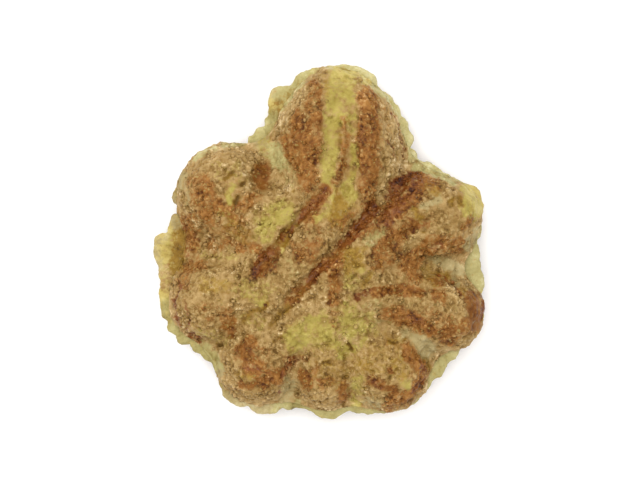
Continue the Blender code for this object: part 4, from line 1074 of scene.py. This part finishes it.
class Recipe:
    """Adds shader nodes to a material and joins them."""

    def __init__(self, name: str) -> None:
        """Starts an empty material.

        Args:
            name: The material's name.
        """
        self.material = bpy.data.materials.new(name)
        self.material.use_nodes = True
        self.tree = self.material.node_tree
        self.shader = self.tree.nodes["Principled BSDF"]
        self.place = self.tree.nodes.new("ShaderNodeTexCoord").outputs["Object"]

    def join(self, source: Socket | float, target: Socket) -> None:
        """Feeds a socket from another one or from a plain number.

        Args:
            source: A node's output, or a number.
            target: The input that it goes to.
        """
        if isinstance(source, Socket):
            self.tree.links.new(source, target)
        else:
            target.default_value = source

    def attribute(self, name: str) -> Socket:
        """Reads a number that the mesh holds.

        Args:
            name: The number's name on the mesh.

        Returns:
            The number's socket.
        """
        node = self.tree.nodes.new("ShaderNodeAttribute")
        node.attribute_name = name
        return node.outputs["Fac"]

    def grain(self, grain: Grain, unit: float) -> Socket:
        """Makes a soft noise.

        Args:
            grain: The noise.
            unit: The finish's own grain, in millimetres.

        Returns:
            The noise, about 0 to 1.
        """
        moved = self.tree.nodes.new("ShaderNodeMapping")
        moved.inputs["Location"].default_value = (grain.shift, grain.shift, grain.shift)
        self.join(self.place, moved.inputs["Vector"])
        node = self.tree.nodes.new("ShaderNodeTexNoise")
        node.inputs["Scale"].default_value = 1 / (grain.size * unit * MM)
        node.inputs["Detail"].default_value = grain.detail
        node.inputs["Roughness"].default_value = grain.roughness
        node.inputs["Distortion"].default_value = grain.twist
        self.join(moved.outputs["Vector"], node.inputs["Vector"])
        return node.outputs["Fac"]

    def crumbs(self, size: float) -> Socket:
        """Makes close-packed crumbs.

        Args:
            size: The crumbs' size, in millimetres.

        Returns:
            The distance from each crumb's middle, 0 there.
        """
        node = self.tree.nodes.new("ShaderNodeTexVoronoi")
        node.inputs["Scale"].default_value = 1 / (size * MM)
        self.join(self.place, node.inputs["Vector"])
        return node.outputs["Distance"]

    def sum(self, operation: str, a: Socket | float, b: Socket | float = 0.0, clamp: bool = False) -> Socket:
        """Works out one sum.

        Args:
            operation: Blender's name for it.
            a: The first value.
            b: The second value.
            clamp: Whether to keep the answer within 0 and 1.

        Returns:
            The answer's socket.
        """
        node = self.tree.nodes.new("ShaderNodeMath")
        node.operation = operation
        node.use_clamp = clamp
        self.join(a, node.inputs[0])
        self.join(b, node.inputs[1])
        return node.outputs["Value"]

    def about(self, value: Socket, middle: float, gain: float) -> Socket:
        """Returns how far a value is from its middle, times a gain."""
        return self.sum("MULTIPLY", self.sum("SUBTRACT", value, middle), gain)

    def step(self, value: Socket, low: float, high: float) -> Socket:
        """Returns 0 where a value is below low and 1 where it is above high."""
        return self.sum("MULTIPLY", self.sum("SUBTRACT", value, low), 1 / (high - low), clamp=True)

    def ramp(self, factor: Socket, shades: Shades, lit: float) -> Socket:
        """Turns a noise into a tone's colours.

        Args:
            factor: The noise, about 0.5 on average.
            shades: The colours as they look in the studio.
            lit: How much brighter than white the studio lights a white surface.

        Returns:
            The colour's socket.
        """
        node = self.tree.nodes.new("ShaderNodeValToRGB")
        stops = node.color_ramp.elements
        stops[0].position, stops[0].color = 0.0, linear(shades.pit, lit)
        stops[1].position, stops[1].color = 1.0, linear(shades.painted_glint, lit)
        for position, colour in ((shades.dark_stop, shades.dark), (shades.light_stop, shades.light)):
            stops.new(position).color = linear(colour, lit)
        self.join(factor, node.inputs["Fac"])
        return node.outputs["Color"]

    def blend(self, share: Socket, under: Socket, over: Socket) -> Socket:
        """Lays one colour over another.

        Args:
            share: How much of the upper colour shows.
            under: The lower colour.
            over: The upper colour.

        Returns:
            The blended colour's socket.
        """
        node = self.tree.nodes.new("ShaderNodeMix")
        node.data_type = "RGBA"
        sockets = {socket.identifier: socket for socket in node.inputs}
        self.join(share, sockets["Factor_Float"])
        self.join(under, sockets["A_Color"])
        self.join(over, sockets["B_Color"])
        return next(socket for socket in node.outputs if socket.identifier == "Result_Color")


@dataclass(frozen=True)
class FriedCoatFinish:
    """Fried batter: tones that mix in grains, with painted shade between the crumbs and painted highlights on
    them, rough where floured and oily where scorched.
    """

    name: str = "fried_coat"
    tones: dict[Tone, Shades] = field(
        default_factory=lambda: {
            FLOURED: Shades((110, 79, 30), (152, 118, 61), (193, 160, 104), (239, 212, 161)),
            BROWNED: Shades((85, 42, 7), (131, 80, 23), (173, 120, 57), (228, 181, 119)),
            BATTER: Shades((108, 87, 22), (160, 140, 60), (194, 176, 92), (230, 213, 138)),
            STEEPED_AND_SHADED: Shades((98, 68, 12), (143, 107, 32), (173, 139, 57), (208, 182, 101)),
            WEB: Shades((108, 92, 38), (164, 149, 88), (193, 181, 120), (221, 211, 158)),
            PASTE: Shades((109, 88, 41), (157, 136, 84), (188, 168, 116), (218, 203, 153)),
            DRIPPED: Shades((140, 114, 42), (191, 167, 88), (215, 196, 120), (234, 221, 158)),
            SCORCH_AND_SHADOW: Shades((56, 20, 6), (110, 58, 17), (152, 94, 40), (226, 180, 118)),
        }
    )
    grain_size: float = 0.7
    fine: Grain = Grain(1.0, 3, 0.0)
    worms: Grain = Grain(1.5, 1, 0.37, 1.5)
    worm_sharpness: float = 4.0
    worm_middle: float = 0.35
    worm_relief: float = 0.28
    crumb_size: float = 1.0
    crumb_middle: float = 0.42
    crumb_relief: float = -0.3
    # Painted shade in the crumbs' holes.
    pit_shadows: Grain = Grain(1.2, 1, 0.91)
    pit_shadow_range: tuple[float, float] = (0.63, 0.78)
    pit_shade: float = 0.2
    # Painted highlights on the crumbs.
    painted_glints: Grain = Grain(0.6, 1, 0.53)
    painted_glint_range: tuple[float, float] = (0.68, 0.75)
    painted_glint_light: float = 0.28
    edges: Grain = Grain(1.3, 2, 0.31)
    edge_raggedness: float = 1.9
    edge_sharpness: float = 1.7
    lit: float = 1.25
    roughness: float = 0.6
    dryness: float = 0.5
    oiliness: float = 0.25
    gloss: float = 0.2
    bump_height: float = 0.3

    def material(self) -> bpy.types.Material:
        """Builds the material.

        Returns:
            The material, which reads each tone's share from the mesh.
        """
        recipe = Recipe(self.name)
        surface = recipe.shader.inputs
        fine = recipe.grain(self.fine, self.grain_size)
        crumbly = recipe.attribute("crumbly")
        relief = recipe.sum("MULTIPLY", self.relief(recipe, fine), crumbly)
        spots = recipe.sum("MULTIPLY", self.spots(recipe), crumbly)
        # The relief also goes into the colour as painted shade: lighter on crumbs and ridges, darker between
        # them.
        shaded = recipe.sum("ADD", recipe.sum("ADD", relief, 0.5), spots)
        shaded = recipe.sum("ADD", shaded, recipe.attribute("shade"))
        edge = recipe.grain(self.edges, self.grain_size)
        ragged = recipe.sum("ADD", recipe.about(edge, 0.5, self.edge_raggedness), -0.5)
        lowest, *others = Tone
        colour = recipe.ramp(shaded, self.tones[lowest], self.lit)
        for tone in others:
            share = recipe.sum("ADD", recipe.attribute(tone.value), ragged)
            share = recipe.sum("ADD", recipe.sum("MULTIPLY", share, self.edge_sharpness), 0.5, clamp=True)
            colour = recipe.blend(share, colour, recipe.ramp(shaded, self.tones[tone], self.lit))
        recipe.join(colour, surface["Base Color"])
        dry = recipe.sum("ADD", recipe.about(fine, 0.5, self.dryness), self.roughness)
        # The last share is the scorched and shadowed one, where the coat is oily.
        oil = recipe.sum("MULTIPLY", share, self.oiliness)
        recipe.join(recipe.sum("SUBTRACT", dry, oil), surface["Roughness"])
        bump = recipe.tree.nodes.new("ShaderNodeBump")
        bump.inputs["Distance"].default_value = self.bump_height * MM
        bump.inputs["Strength"].default_value = 1.0
        recipe.join(relief, bump.inputs["Height"])
        recipe.join(bump.outputs["Normal"], surface["Normal"])
        surface["Specular IOR Level"].default_value = self.gloss
        return recipe.material

    def relief(self, recipe: Recipe, fine: Socket) -> Socket:
        """Adds up the fine grain, the crumbs and the wrung ridges between them.

        Args:
            recipe: The material's recipe.
            fine: The fine grain.

        Returns:
            The relief, about 0 on average.
        """
        worms = recipe.grain(self.worms, self.grain_size)
        ridges = recipe.sum("ABSOLUTE", recipe.about(worms, 0.5, self.worm_sharpness))
        crumbs = recipe.about(recipe.crumbs(self.crumb_size), self.crumb_middle, self.crumb_relief)
        relief = recipe.sum("ADD", recipe.about(fine, 0.5, 1.0), crumbs)
        return recipe.sum("ADD", relief, recipe.about(ridges, self.worm_middle, self.worm_relief))

    def spots(self, recipe: Recipe) -> Socket:
        """Paints shade into the crumbs' holes and highlights onto their tops.

        Args:
            recipe: The material's recipe.

        Returns:
            How much lighter the coat is there, negative where it is darker.
        """
        pit_shadows = recipe.step(recipe.grain(self.pit_shadows, self.grain_size), *self.pit_shadow_range)
        painted_glints = recipe.step(recipe.grain(self.painted_glints, self.grain_size), *self.painted_glint_range)
        shade = recipe.sum("MULTIPLY", pit_shadows, self.pit_shade)
        return recipe.sum("SUBTRACT", recipe.sum("MULTIPLY", painted_glints, self.painted_glint_light), shade)


def numbers_on(mesh: bpy.types.Mesh, name: str, values: np.ndarray) -> None:
    """Stores one number a vertex on a mesh.

    Args:
        mesh: The mesh.
        name: The numbers' name.
        values: One number a vertex.
    """
    layer = mesh.attributes.new(name, "FLOAT", "POINT")
    layer.data.foreach_set("value", np.ascontiguousarray(values, np.float32))


def rows_of(mesh: bpy.types.Mesh, normals: bool = False) -> np.ndarray:
    """Reads a mesh's vertices.

    Args:
        mesh: The mesh.
        normals: Whether to read their normals and not their places.

    Returns:
        Rows of x, y, z.
    """
    flat = np.empty(3 * len(mesh.vertices), np.float32)
    if normals:
        mesh.vertex_normals.foreach_get("vector", flat)
    else:
        mesh.vertices.foreach_get("co", flat)
    return flat.reshape(-1, 3).astype(float)


def move_rows(mesh: bpy.types.Mesh, places: np.ndarray) -> None:
    """Puts each vertex of a mesh at its row of places."""
    mesh.vertices.foreach_set("co", np.ascontiguousarray(places, np.float32).ravel())
    mesh.update()


def mesh_from(bm: bmesh.types.BMesh, name: str) -> bpy.types.Mesh:
    """Makes a smooth-shaded mesh from a bmesh, faces outwards.

    Args:
        bm: The bmesh, which is freed.
        name: The mesh's name.

    Returns:
        The mesh.
    """
    bmesh.ops.recalc_face_normals(bm, faces=bm.faces[:])
    mesh = bpy.data.meshes.new(name)
    bm.to_mesh(mesh)
    bm.free()
    mesh.shade_smooth()
    return mesh


def in_scene(mesh: bpy.types.Mesh) -> bpy.types.Object:
    """Puts a mesh in the scene under its own name.

    Args:
        mesh: The mesh.

    Returns:
        The object that shows it.
    """
    piece = bpy.data.objects.new(mesh.name, mesh)
    bpy.context.scene.collection.objects.link(piece)
    return piece


@dataclass
class CrustBody:
    """The moulded cake under its crackled coat."""

    form: MapleForm
    painter: CoatPainter
    material: bpy.types.Material
    ball_level: int = 7
    finer_above: float = 0.05
    evenings: int = 2
    evening_share: float = 0.5
    blisters: Swell = Swell(0.28, 0.0, 3, 0.5)
    slack: float = 0.2
    crumbs: Pebbles = Pebbles(1.0, 4.0)
    crumb_patches: Swell = Swell(0.33, 51.0, 2, 0.8)
    crumb_share: float = 0.85
    crumb_limits: tuple[float, float] = (0.4, 1.3)
    crumb_middle: float = 0.4
    crumb_height: float = 0.4
    crumb_painted_shade: float = 0.26
    crumb_painted_shade_middle: float = 0.45
    wrinkles: Swell = Swell(0.7, 8.0, 2)
    wrinkle_width: float = 0.35
    wrinkle_height: float = 0.42
    wrinkle_painted_shade: float = 0.42
    wrinkle_painted_shade_middle: float = 0.15
    creases: Swell = Swell(1.0, 61.0)
    creases_along: float = 0.3
    creases_across: float = 1.3
    crease_width: float = 0.3
    crease_height: float = 0.35
    crease_painted_shade: float = 0.5
    clouds: tuple[Swell, Swell] = (Swell(0.3, 31.0, 2, 0.12), Swell(0.9, 33.0, gain=0.1))
    rim_width: float = 4.5
    rim_edge: float = 1.6
    painted_rim_light: float = 0.1

    def ball(self) -> bmesh.types.BMesh:
        """Makes a ball whose upper half has the finer faces.

        Returns:
            A ball of radius 1.
        """
        bm = bmesh.new()
        bmesh.ops.create_icosphere(bm, subdivisions=self.ball_level, radius=1.0)
        top = [e for e in bm.edges if min(v.co.z for v in e.verts) > self.finer_above]
        bmesh.ops.subdivide_edges(bm, edges=top, cuts=1, use_grid_fill=True)
        bmesh.ops.triangulate(bm, faces=[f for f in bm.faces if len(f.verts) > 3])
        return bm

    def moulded(self) -> bpy.types.Mesh:
        """Draws the ball out to the leaf and evens out its faces.

        Returns:
            The smooth leaf, in millimetres.
        """
        mesh = mesh_from(self.ball(), "fried_coat")
        ball = rows_of(mesh)
        ball /= np.linalg.norm(ball, axis=1)[:, None]
        reach = self.form.reaches(self.form.outline_distance, np.arctan2(ball[:, 1], ball[:, 0]))
        x = self.form.heart[0] + ball[:, 0] * reach
        y = self.form.heart[1] + ball[:, 1] * reach
        z = np.where(ball[:, 2] > 0, self.form.face_height(x, y), -self.form.under_depth(x, y))
        move_rows(mesh, np.column_stack((x, y, HEM_HEIGHT + z)))
        bm = bmesh.new()
        bm.from_mesh(mesh)
        for _ in range(self.evenings):
            bmesh.ops.smooth_vert(
                bm,
                verts=bm.verts[:],
                factor=self.evening_share,
                use_axis_x=True,
                use_axis_y=True,
                use_axis_z=True,
            )
        bm.to_mesh(mesh)
        bm.free()
        mesh.update()
        return mesh

    def build(self) -> bpy.types.Object:
        """Builds the coat with its relief and tones.

        Returns:
            The object, in millimetres.
        """
        mesh = self.moulded()
        smooth = rows_of(mesh)
        paint = self.painter.paint(smooth)
        patches = np.clip(self.crumb_share + self.crumb_patches.at(smooth), *self.crumb_limits)
        crumbly = paint.crumbly * patches
        crumbs = self.crumbs.at(smooth)
        wrinkles = self.wrinkle_width - np.abs(self.wrinkles.at(smooth))
        inside = self.form.outline_distance(smooth[:, 0], smooth[:, 1])
        along = np.column_stack((self.creases_along * smooth[:, :2], self.creases_across * inside))
        creases = above(inside, self.rim_width) * (self.crease_width - np.abs(self.creases.at(along)))
        relief = self.blisters.at(smooth) - self.slack + self.crease_height * creases
        crumbs_up = self.crumb_height * (crumbs - self.crumb_middle)
        relief += crumbly * (self.wrinkle_height * wrinkles + crumbs_up) - paint.sink
        places = smooth + rows_of(mesh, normals=True) * relief[:, None]
        places[:, 2] = np.maximum(places[:, 2], 0)
        move_rows(mesh, places)
        # Painted shade that follows the relief: lighter on crumbs, wrinkles and crease ridges, darker between
        # them.
        crumbs_painted_shade = self.crumb_painted_shade * (crumbs - self.crumb_painted_shade_middle)
        wrinkles_painted_shade = self.wrinkle_painted_shade * (wrinkles - self.wrinkle_painted_shade_middle)
        shade = crumbly * (crumbs_painted_shade + wrinkles_painted_shade)
        shade += sum(cloud.at(smooth) for cloud in self.clouds) + self.crease_painted_shade * creases
        # Painted light along the rim, lighter towards the outline.
        shade += self.painted_rim_light * above(inside, self.rim_edge)
        paint.store(mesh, shade, crumbly)
        mesh.materials.append(self.material)
        return in_scene(mesh)


@dataclass
class BatterHem:
    """The hem of batter that ran out round the cake's middle: a ring drawn out to its drips."""

    form: MapleForm
    painter: CoatPainter
    material: bpy.types.Material
    thickness: float = 2.6
    inner_share: float = 0.66
    steps: int = 1080
    section: int = 36
    weld: float = 1e-5
    inward_bend: float = 1.6
    roundness: float = 0.6
    wave: Swell = Swell(0.12, 3.0)
    bloat: Swell = Swell(0.3, 9.0, gain=0.3)
    lumps: tuple[Swell, Swell] = (Swell(0.7, 6.0, 2, 0.25), Swell(2.0, 7.0, gain=0.08))
    clouds: tuple[Swell, Swell] = (Swell(0.3, 17.0, 2, 0.22), Swell(1.1, 19.0, gain=0.14))
    bead_height: float = 0.4
    bead_painted_shade: float = 0.05
    bead_painted_shade_middle: float = 0.55
    thin_edge: float = 1.1
    thin_edge_painted_light: float = 0.08
    painted_above: tuple[float, float, float] = (0.0, 0.0, 50.0)

    def ring(self) -> bpy.types.Mesh:
        """Rolls a sheet up into a ring with a round rim.

        Returns:
            A ring as thick as the hem, whose rim lies 1 from its middle.
        """
        bm = bmesh.new()
        bmesh.ops.create_grid(bm, x_segments=self.steps, y_segments=self.section, size=1.0)
        for vert in bm.verts:
            across = math.pi * vert.co.y
            inward = (1 - math.cos(across)) / 2
            share = 1 - (1 - self.inner_share) * inward**self.inward_bend
            height = math.sin(across) / max(abs(math.sin(across)) ** self.roundness, TINY)
            turn = math.pi * vert.co.x
            vert.co = (share * math.cos(turn), share * math.sin(turn), height * self.thickness / 2)
        bmesh.ops.remove_doubles(bm, verts=bm.verts[:], dist=self.weld)
        return mesh_from(bm, "batter_hem")

    def build(self) -> bpy.types.Object:
        """Builds the hem.

        Returns:
            The object, in millimetres.
        """
        mesh = self.ring()
        ring = rows_of(mesh)
        turn = np.arctan2(ring[:, 1], ring[:, 0])
        reach = np.hypot(ring[:, 0], ring[:, 1]) * self.form.reaches(self.form.hem_distance, turn)
        x = self.form.heart[0] + reach * np.cos(turn)
        y = self.form.heart[1] + reach * np.sin(turn)
        flat = np.column_stack((x, y, np.zeros(len(x))))
        side = ring[:, 2] / (self.thickness / 2)
        beads = self.form.beads(x, y)
        thick = ring[:, 2] * (1 + self.bloat.at(flat)) + side * beads * self.bead_height
        move_rows(mesh, np.column_stack((x, y, HEM_HEIGHT + self.wave.at(flat) + thick)))
        places = rows_of(mesh)
        relief = sum(lump.at(places) for lump in self.lumps)
        move_rows(mesh, places + rows_of(mesh, normals=True) * relief[:, None])
        paint = self.painter.paint(places + self.painted_above)
        shade = sum(cloud.at(places) for cloud in self.clouds)
        # Painted shade on the drips: lighter on their swells, darker between them.
        shade += self.bead_painted_shade * (beads - self.bead_painted_shade_middle)
        # Painted light through the thin batter, lighter towards the hem's outer edge.
        shade += self.thin_edge_painted_light * above(self.form.hem_distance(x, y), self.thin_edge)
        paint.store(mesh, shade, paint.crumbly)
        mesh.materials.append(self.material)
        return in_scene(mesh)


@dataclass
class LooseCrumbs:
    """Crumbs of fried batter that stand on the coat."""

    form: MapleForm
    painter: CoatPainter
    material: bpy.types.Material
    count: int = 1500
    tries: int = 4500
    furthest_share: float = 0.95
    crumbly_enough: tuple[float, float] = (0.4, 1.1)
    segments: int = 7
    rings: int = 5
    sizes: tuple[float, float] = (0.2, 0.55)
    shrinking: tuple[float, float] = (0.6, 1.0)
    width_shares: tuple[float, float] = (0.6, 1.0)
    height_shares: tuple[float, float] = (0.5, 0.9)
    lump_scale: float = 1.7
    lump_height: float = 0.35
    lump_seeds: float = 90.0
    shades: tuple[float, float] = (-0.14, 0.14)
    crumbly: float = 0.6
    seed: int = 23

    def scattered(self) -> np.ndarray:
        """Picks places on the face where the coat is crumbly.

        Returns:
            Rows of x, y, z in millimetres.
        """
        rng = np.random.default_rng(self.seed)
        angles = rng.uniform(-math.pi, math.pi, self.tries)
        shares = np.sqrt(rng.uniform(0.0, self.furthest_share, self.tries))
        reach = self.form.reaches(self.form.outline_distance, angles) * shares
        x = self.form.heart[0] + reach * np.cos(angles)
        y = self.form.heart[1] + reach * np.sin(angles)
        places = np.column_stack((x, y, HEM_HEIGHT + self.form.face_height(x, y)))
        crumbly = self.painter.paint(places).crumbly
        return places[rng.uniform(*self.crumbly_enough, len(places)) < crumbly][: self.count]

    def build(self) -> bpy.types.Object:
        """Builds the crumbs, each a lumpy little ball turned its own way.

        Returns:
            One object with all of them, in millimetres.
        """
        rng = random.Random(self.seed)
        single = bmesh.new()
        bmesh.ops.create_uvsphere(single, u_segments=self.segments, v_segments=self.rings, radius=1.0)
        crumb = mesh_from(single, "crumb")
        ball = rows_of(crumb)
        bm = bmesh.new()
        rows, middles = [], []
        for place in self.scattered():
            bm.from_mesh(crumb)
            size = rng.uniform(*self.sizes) * rng.uniform(*self.shrinking)
            turn = Matrix.Rotation(rng.uniform(0, math.tau), 3, Vector((rng.gauss(0, 1), rng.gauss(0, 1), 1)))
            stretch = size * np.diag((1, rng.uniform(*self.width_shares), rng.uniform(*self.height_shares)))
            swell = Swell(self.lump_scale, rng.uniform(0, self.lump_seeds), gain=self.lump_height)
            lumps = 1 + swell.at(ball)
            rows.append(place + (ball * lumps[:, None]) @ stretch @ np.array(turn).T)
            middles.append(np.tile((*place, rng.uniform(*self.shades)), (len(ball), 1)))
        bpy.data.meshes.remove(crumb)
        mesh = mesh_from(bm, "fried_crumbs")
        move_rows(mesh, np.vstack(rows))
        middle = np.vstack(middles)
        self.painter.paint(middle[:, :3]).store(mesh, middle[:, 3], np.full(len(middle), self.crumbly))
        mesh.materials.append(self.material)
        return in_scene(mesh)


@dataclass(frozen=True)
class Lamp:
    """A square soft light that looks at the cake from its place, in metres and watts."""

    name: str
    place: tuple[float, float, float]
    size: float
    power: float


@dataclass
class Studio:
    """A pale floor, soft light and a camera that looks straight down."""

    floor_side: float = 3.0
    floor_colour: Colour = (252, 252, 252)
    floor_roughness: float = 0.9
    floor_gloss: float = 0.1
    lens: float = 150.0
    sensor_width: float = 36.0
    width_seen: float = 133.4
    aim: tuple[float, float] = (0.208, 0.313)
    sky: float = 0.78
    lamps: tuple[Lamp, ...] = (
        Lamp("top_light", (0.0, 0.0, 0.9), 0.5, 4.7),
        Lamp("side_light", (-0.4, 0.4, 0.7), 0.9, 3.4),
    )

    def floor(self) -> None:
        """Lays the floor."""
        bm = bmesh.new()
        bmesh.ops.create_grid(bm, x_segments=1, y_segments=1, size=self.floor_side / 2)
        mesh = mesh_from(bm, "floor")
        material = bpy.data.materials.new("pale_floor")
        material.use_nodes = True
        shader = material.node_tree.nodes["Principled BSDF"]
        shader.inputs["Base Color"].default_value = linear(self.floor_colour)
        shader.inputs["Roughness"].default_value = self.floor_roughness
        shader.inputs["Specular IOR Level"].default_value = self.floor_gloss
        mesh.materials.append(material)
        in_scene(mesh)

    def light(self) -> None:
        """Sets the sky and the lamps."""
        world = bpy.data.worlds.new("studio_sky")
        world.use_nodes = True
        background = world.node_tree.nodes["Background"]
        background.inputs["Color"].default_value = (1.0, 1.0, 1.0, 1.0)
        background.inputs["Strength"].default_value = self.sky
        bpy.context.scene.world = world
        for lamp in self.lamps:
            data = bpy.data.lights.new(lamp.name, "AREA")
            data.size = lamp.size
            data.energy = lamp.power
            holder = bpy.data.objects.new(lamp.name, data)
            holder.location = lamp.place
            holder.rotation_euler = (-holder.location).to_track_quat("-Z", "Y").to_euler()
            bpy.context.scene.collection.objects.link(holder)

    def camera(self) -> None:
        """Hangs the camera over the cake, far enough for the photograph's frame."""
        data = bpy.data.cameras.new("camera")
        data.lens = self.lens
        data.sensor_width = self.sensor_width
        distance = self.lens / self.sensor_width * self.width_seen
        camera = bpy.data.objects.new("camera", data)
        camera.location = (self.aim[0] * MM, self.aim[1] * MM, (HEM_HEIGHT + distance) * MM)
        bpy.context.scene.collection.objects.link(camera)
        bpy.context.scene.camera = camera

    def build(self) -> None:
        """Sets up the floor, the light and the camera."""
        self.floor()
        self.light()
        self.camera()
        bpy.context.scene.view_settings.view_transform = "Standard"


def set_in_place(pieces: list[bpy.types.Object]) -> None:
    """Centres the pieces over the solid and brings them to metres.

    Args:
        pieces: The objects that together make the cake.
    """
    rows = np.vstack([rows_of(piece.data) for piece in pieces])
    low, high = rows.min(0), rows.max(0)
    solid_low, solid_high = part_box(CAKE_NODE)
    middle = (solid_low + solid_high) / 2
    shift = (middle.x / MM - (low[0] + high[0]) / 2, middle.y / MM - (low[1] + high[1]) / 2, 0)
    LOG.info("shifted by %s mm, box %s to %s mm", np.round(shift, 2), low.round(1), high.round(1))
    for piece in pieces:
        move_rows(piece.data, (rows_of(piece.data) + shift) * MM)
        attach(piece, "root")
        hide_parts(CAKE_NODE)


def main() -> None:
    """Builds the cake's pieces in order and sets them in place."""
    logging.basicConfig(level=logging.INFO, format="%(name)s: %(message)s")
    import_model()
    form = MapleForm()
    material = FriedCoatFinish().material()
    coat_painter = CoatPainter(COAT_DAUBS)
    hem_painter = CoatPainter(HEM_DAUBS, ground=DRIPPED)
    pieces = []
    for maker in (
        CrustBody(form, coat_painter, material),
        BatterHem(form, hem_painter, material),
        LooseCrumbs(form, coat_painter, material),
    ):
        piece = maker.build()
        LOG.info("%s: %d faces", piece.name, len(piece.data.polygons))
        pieces.append(piece)
    set_in_place(pieces)
    Studio().build()
    LOG.info("size written")


if __name__ == "__main__":
    main()
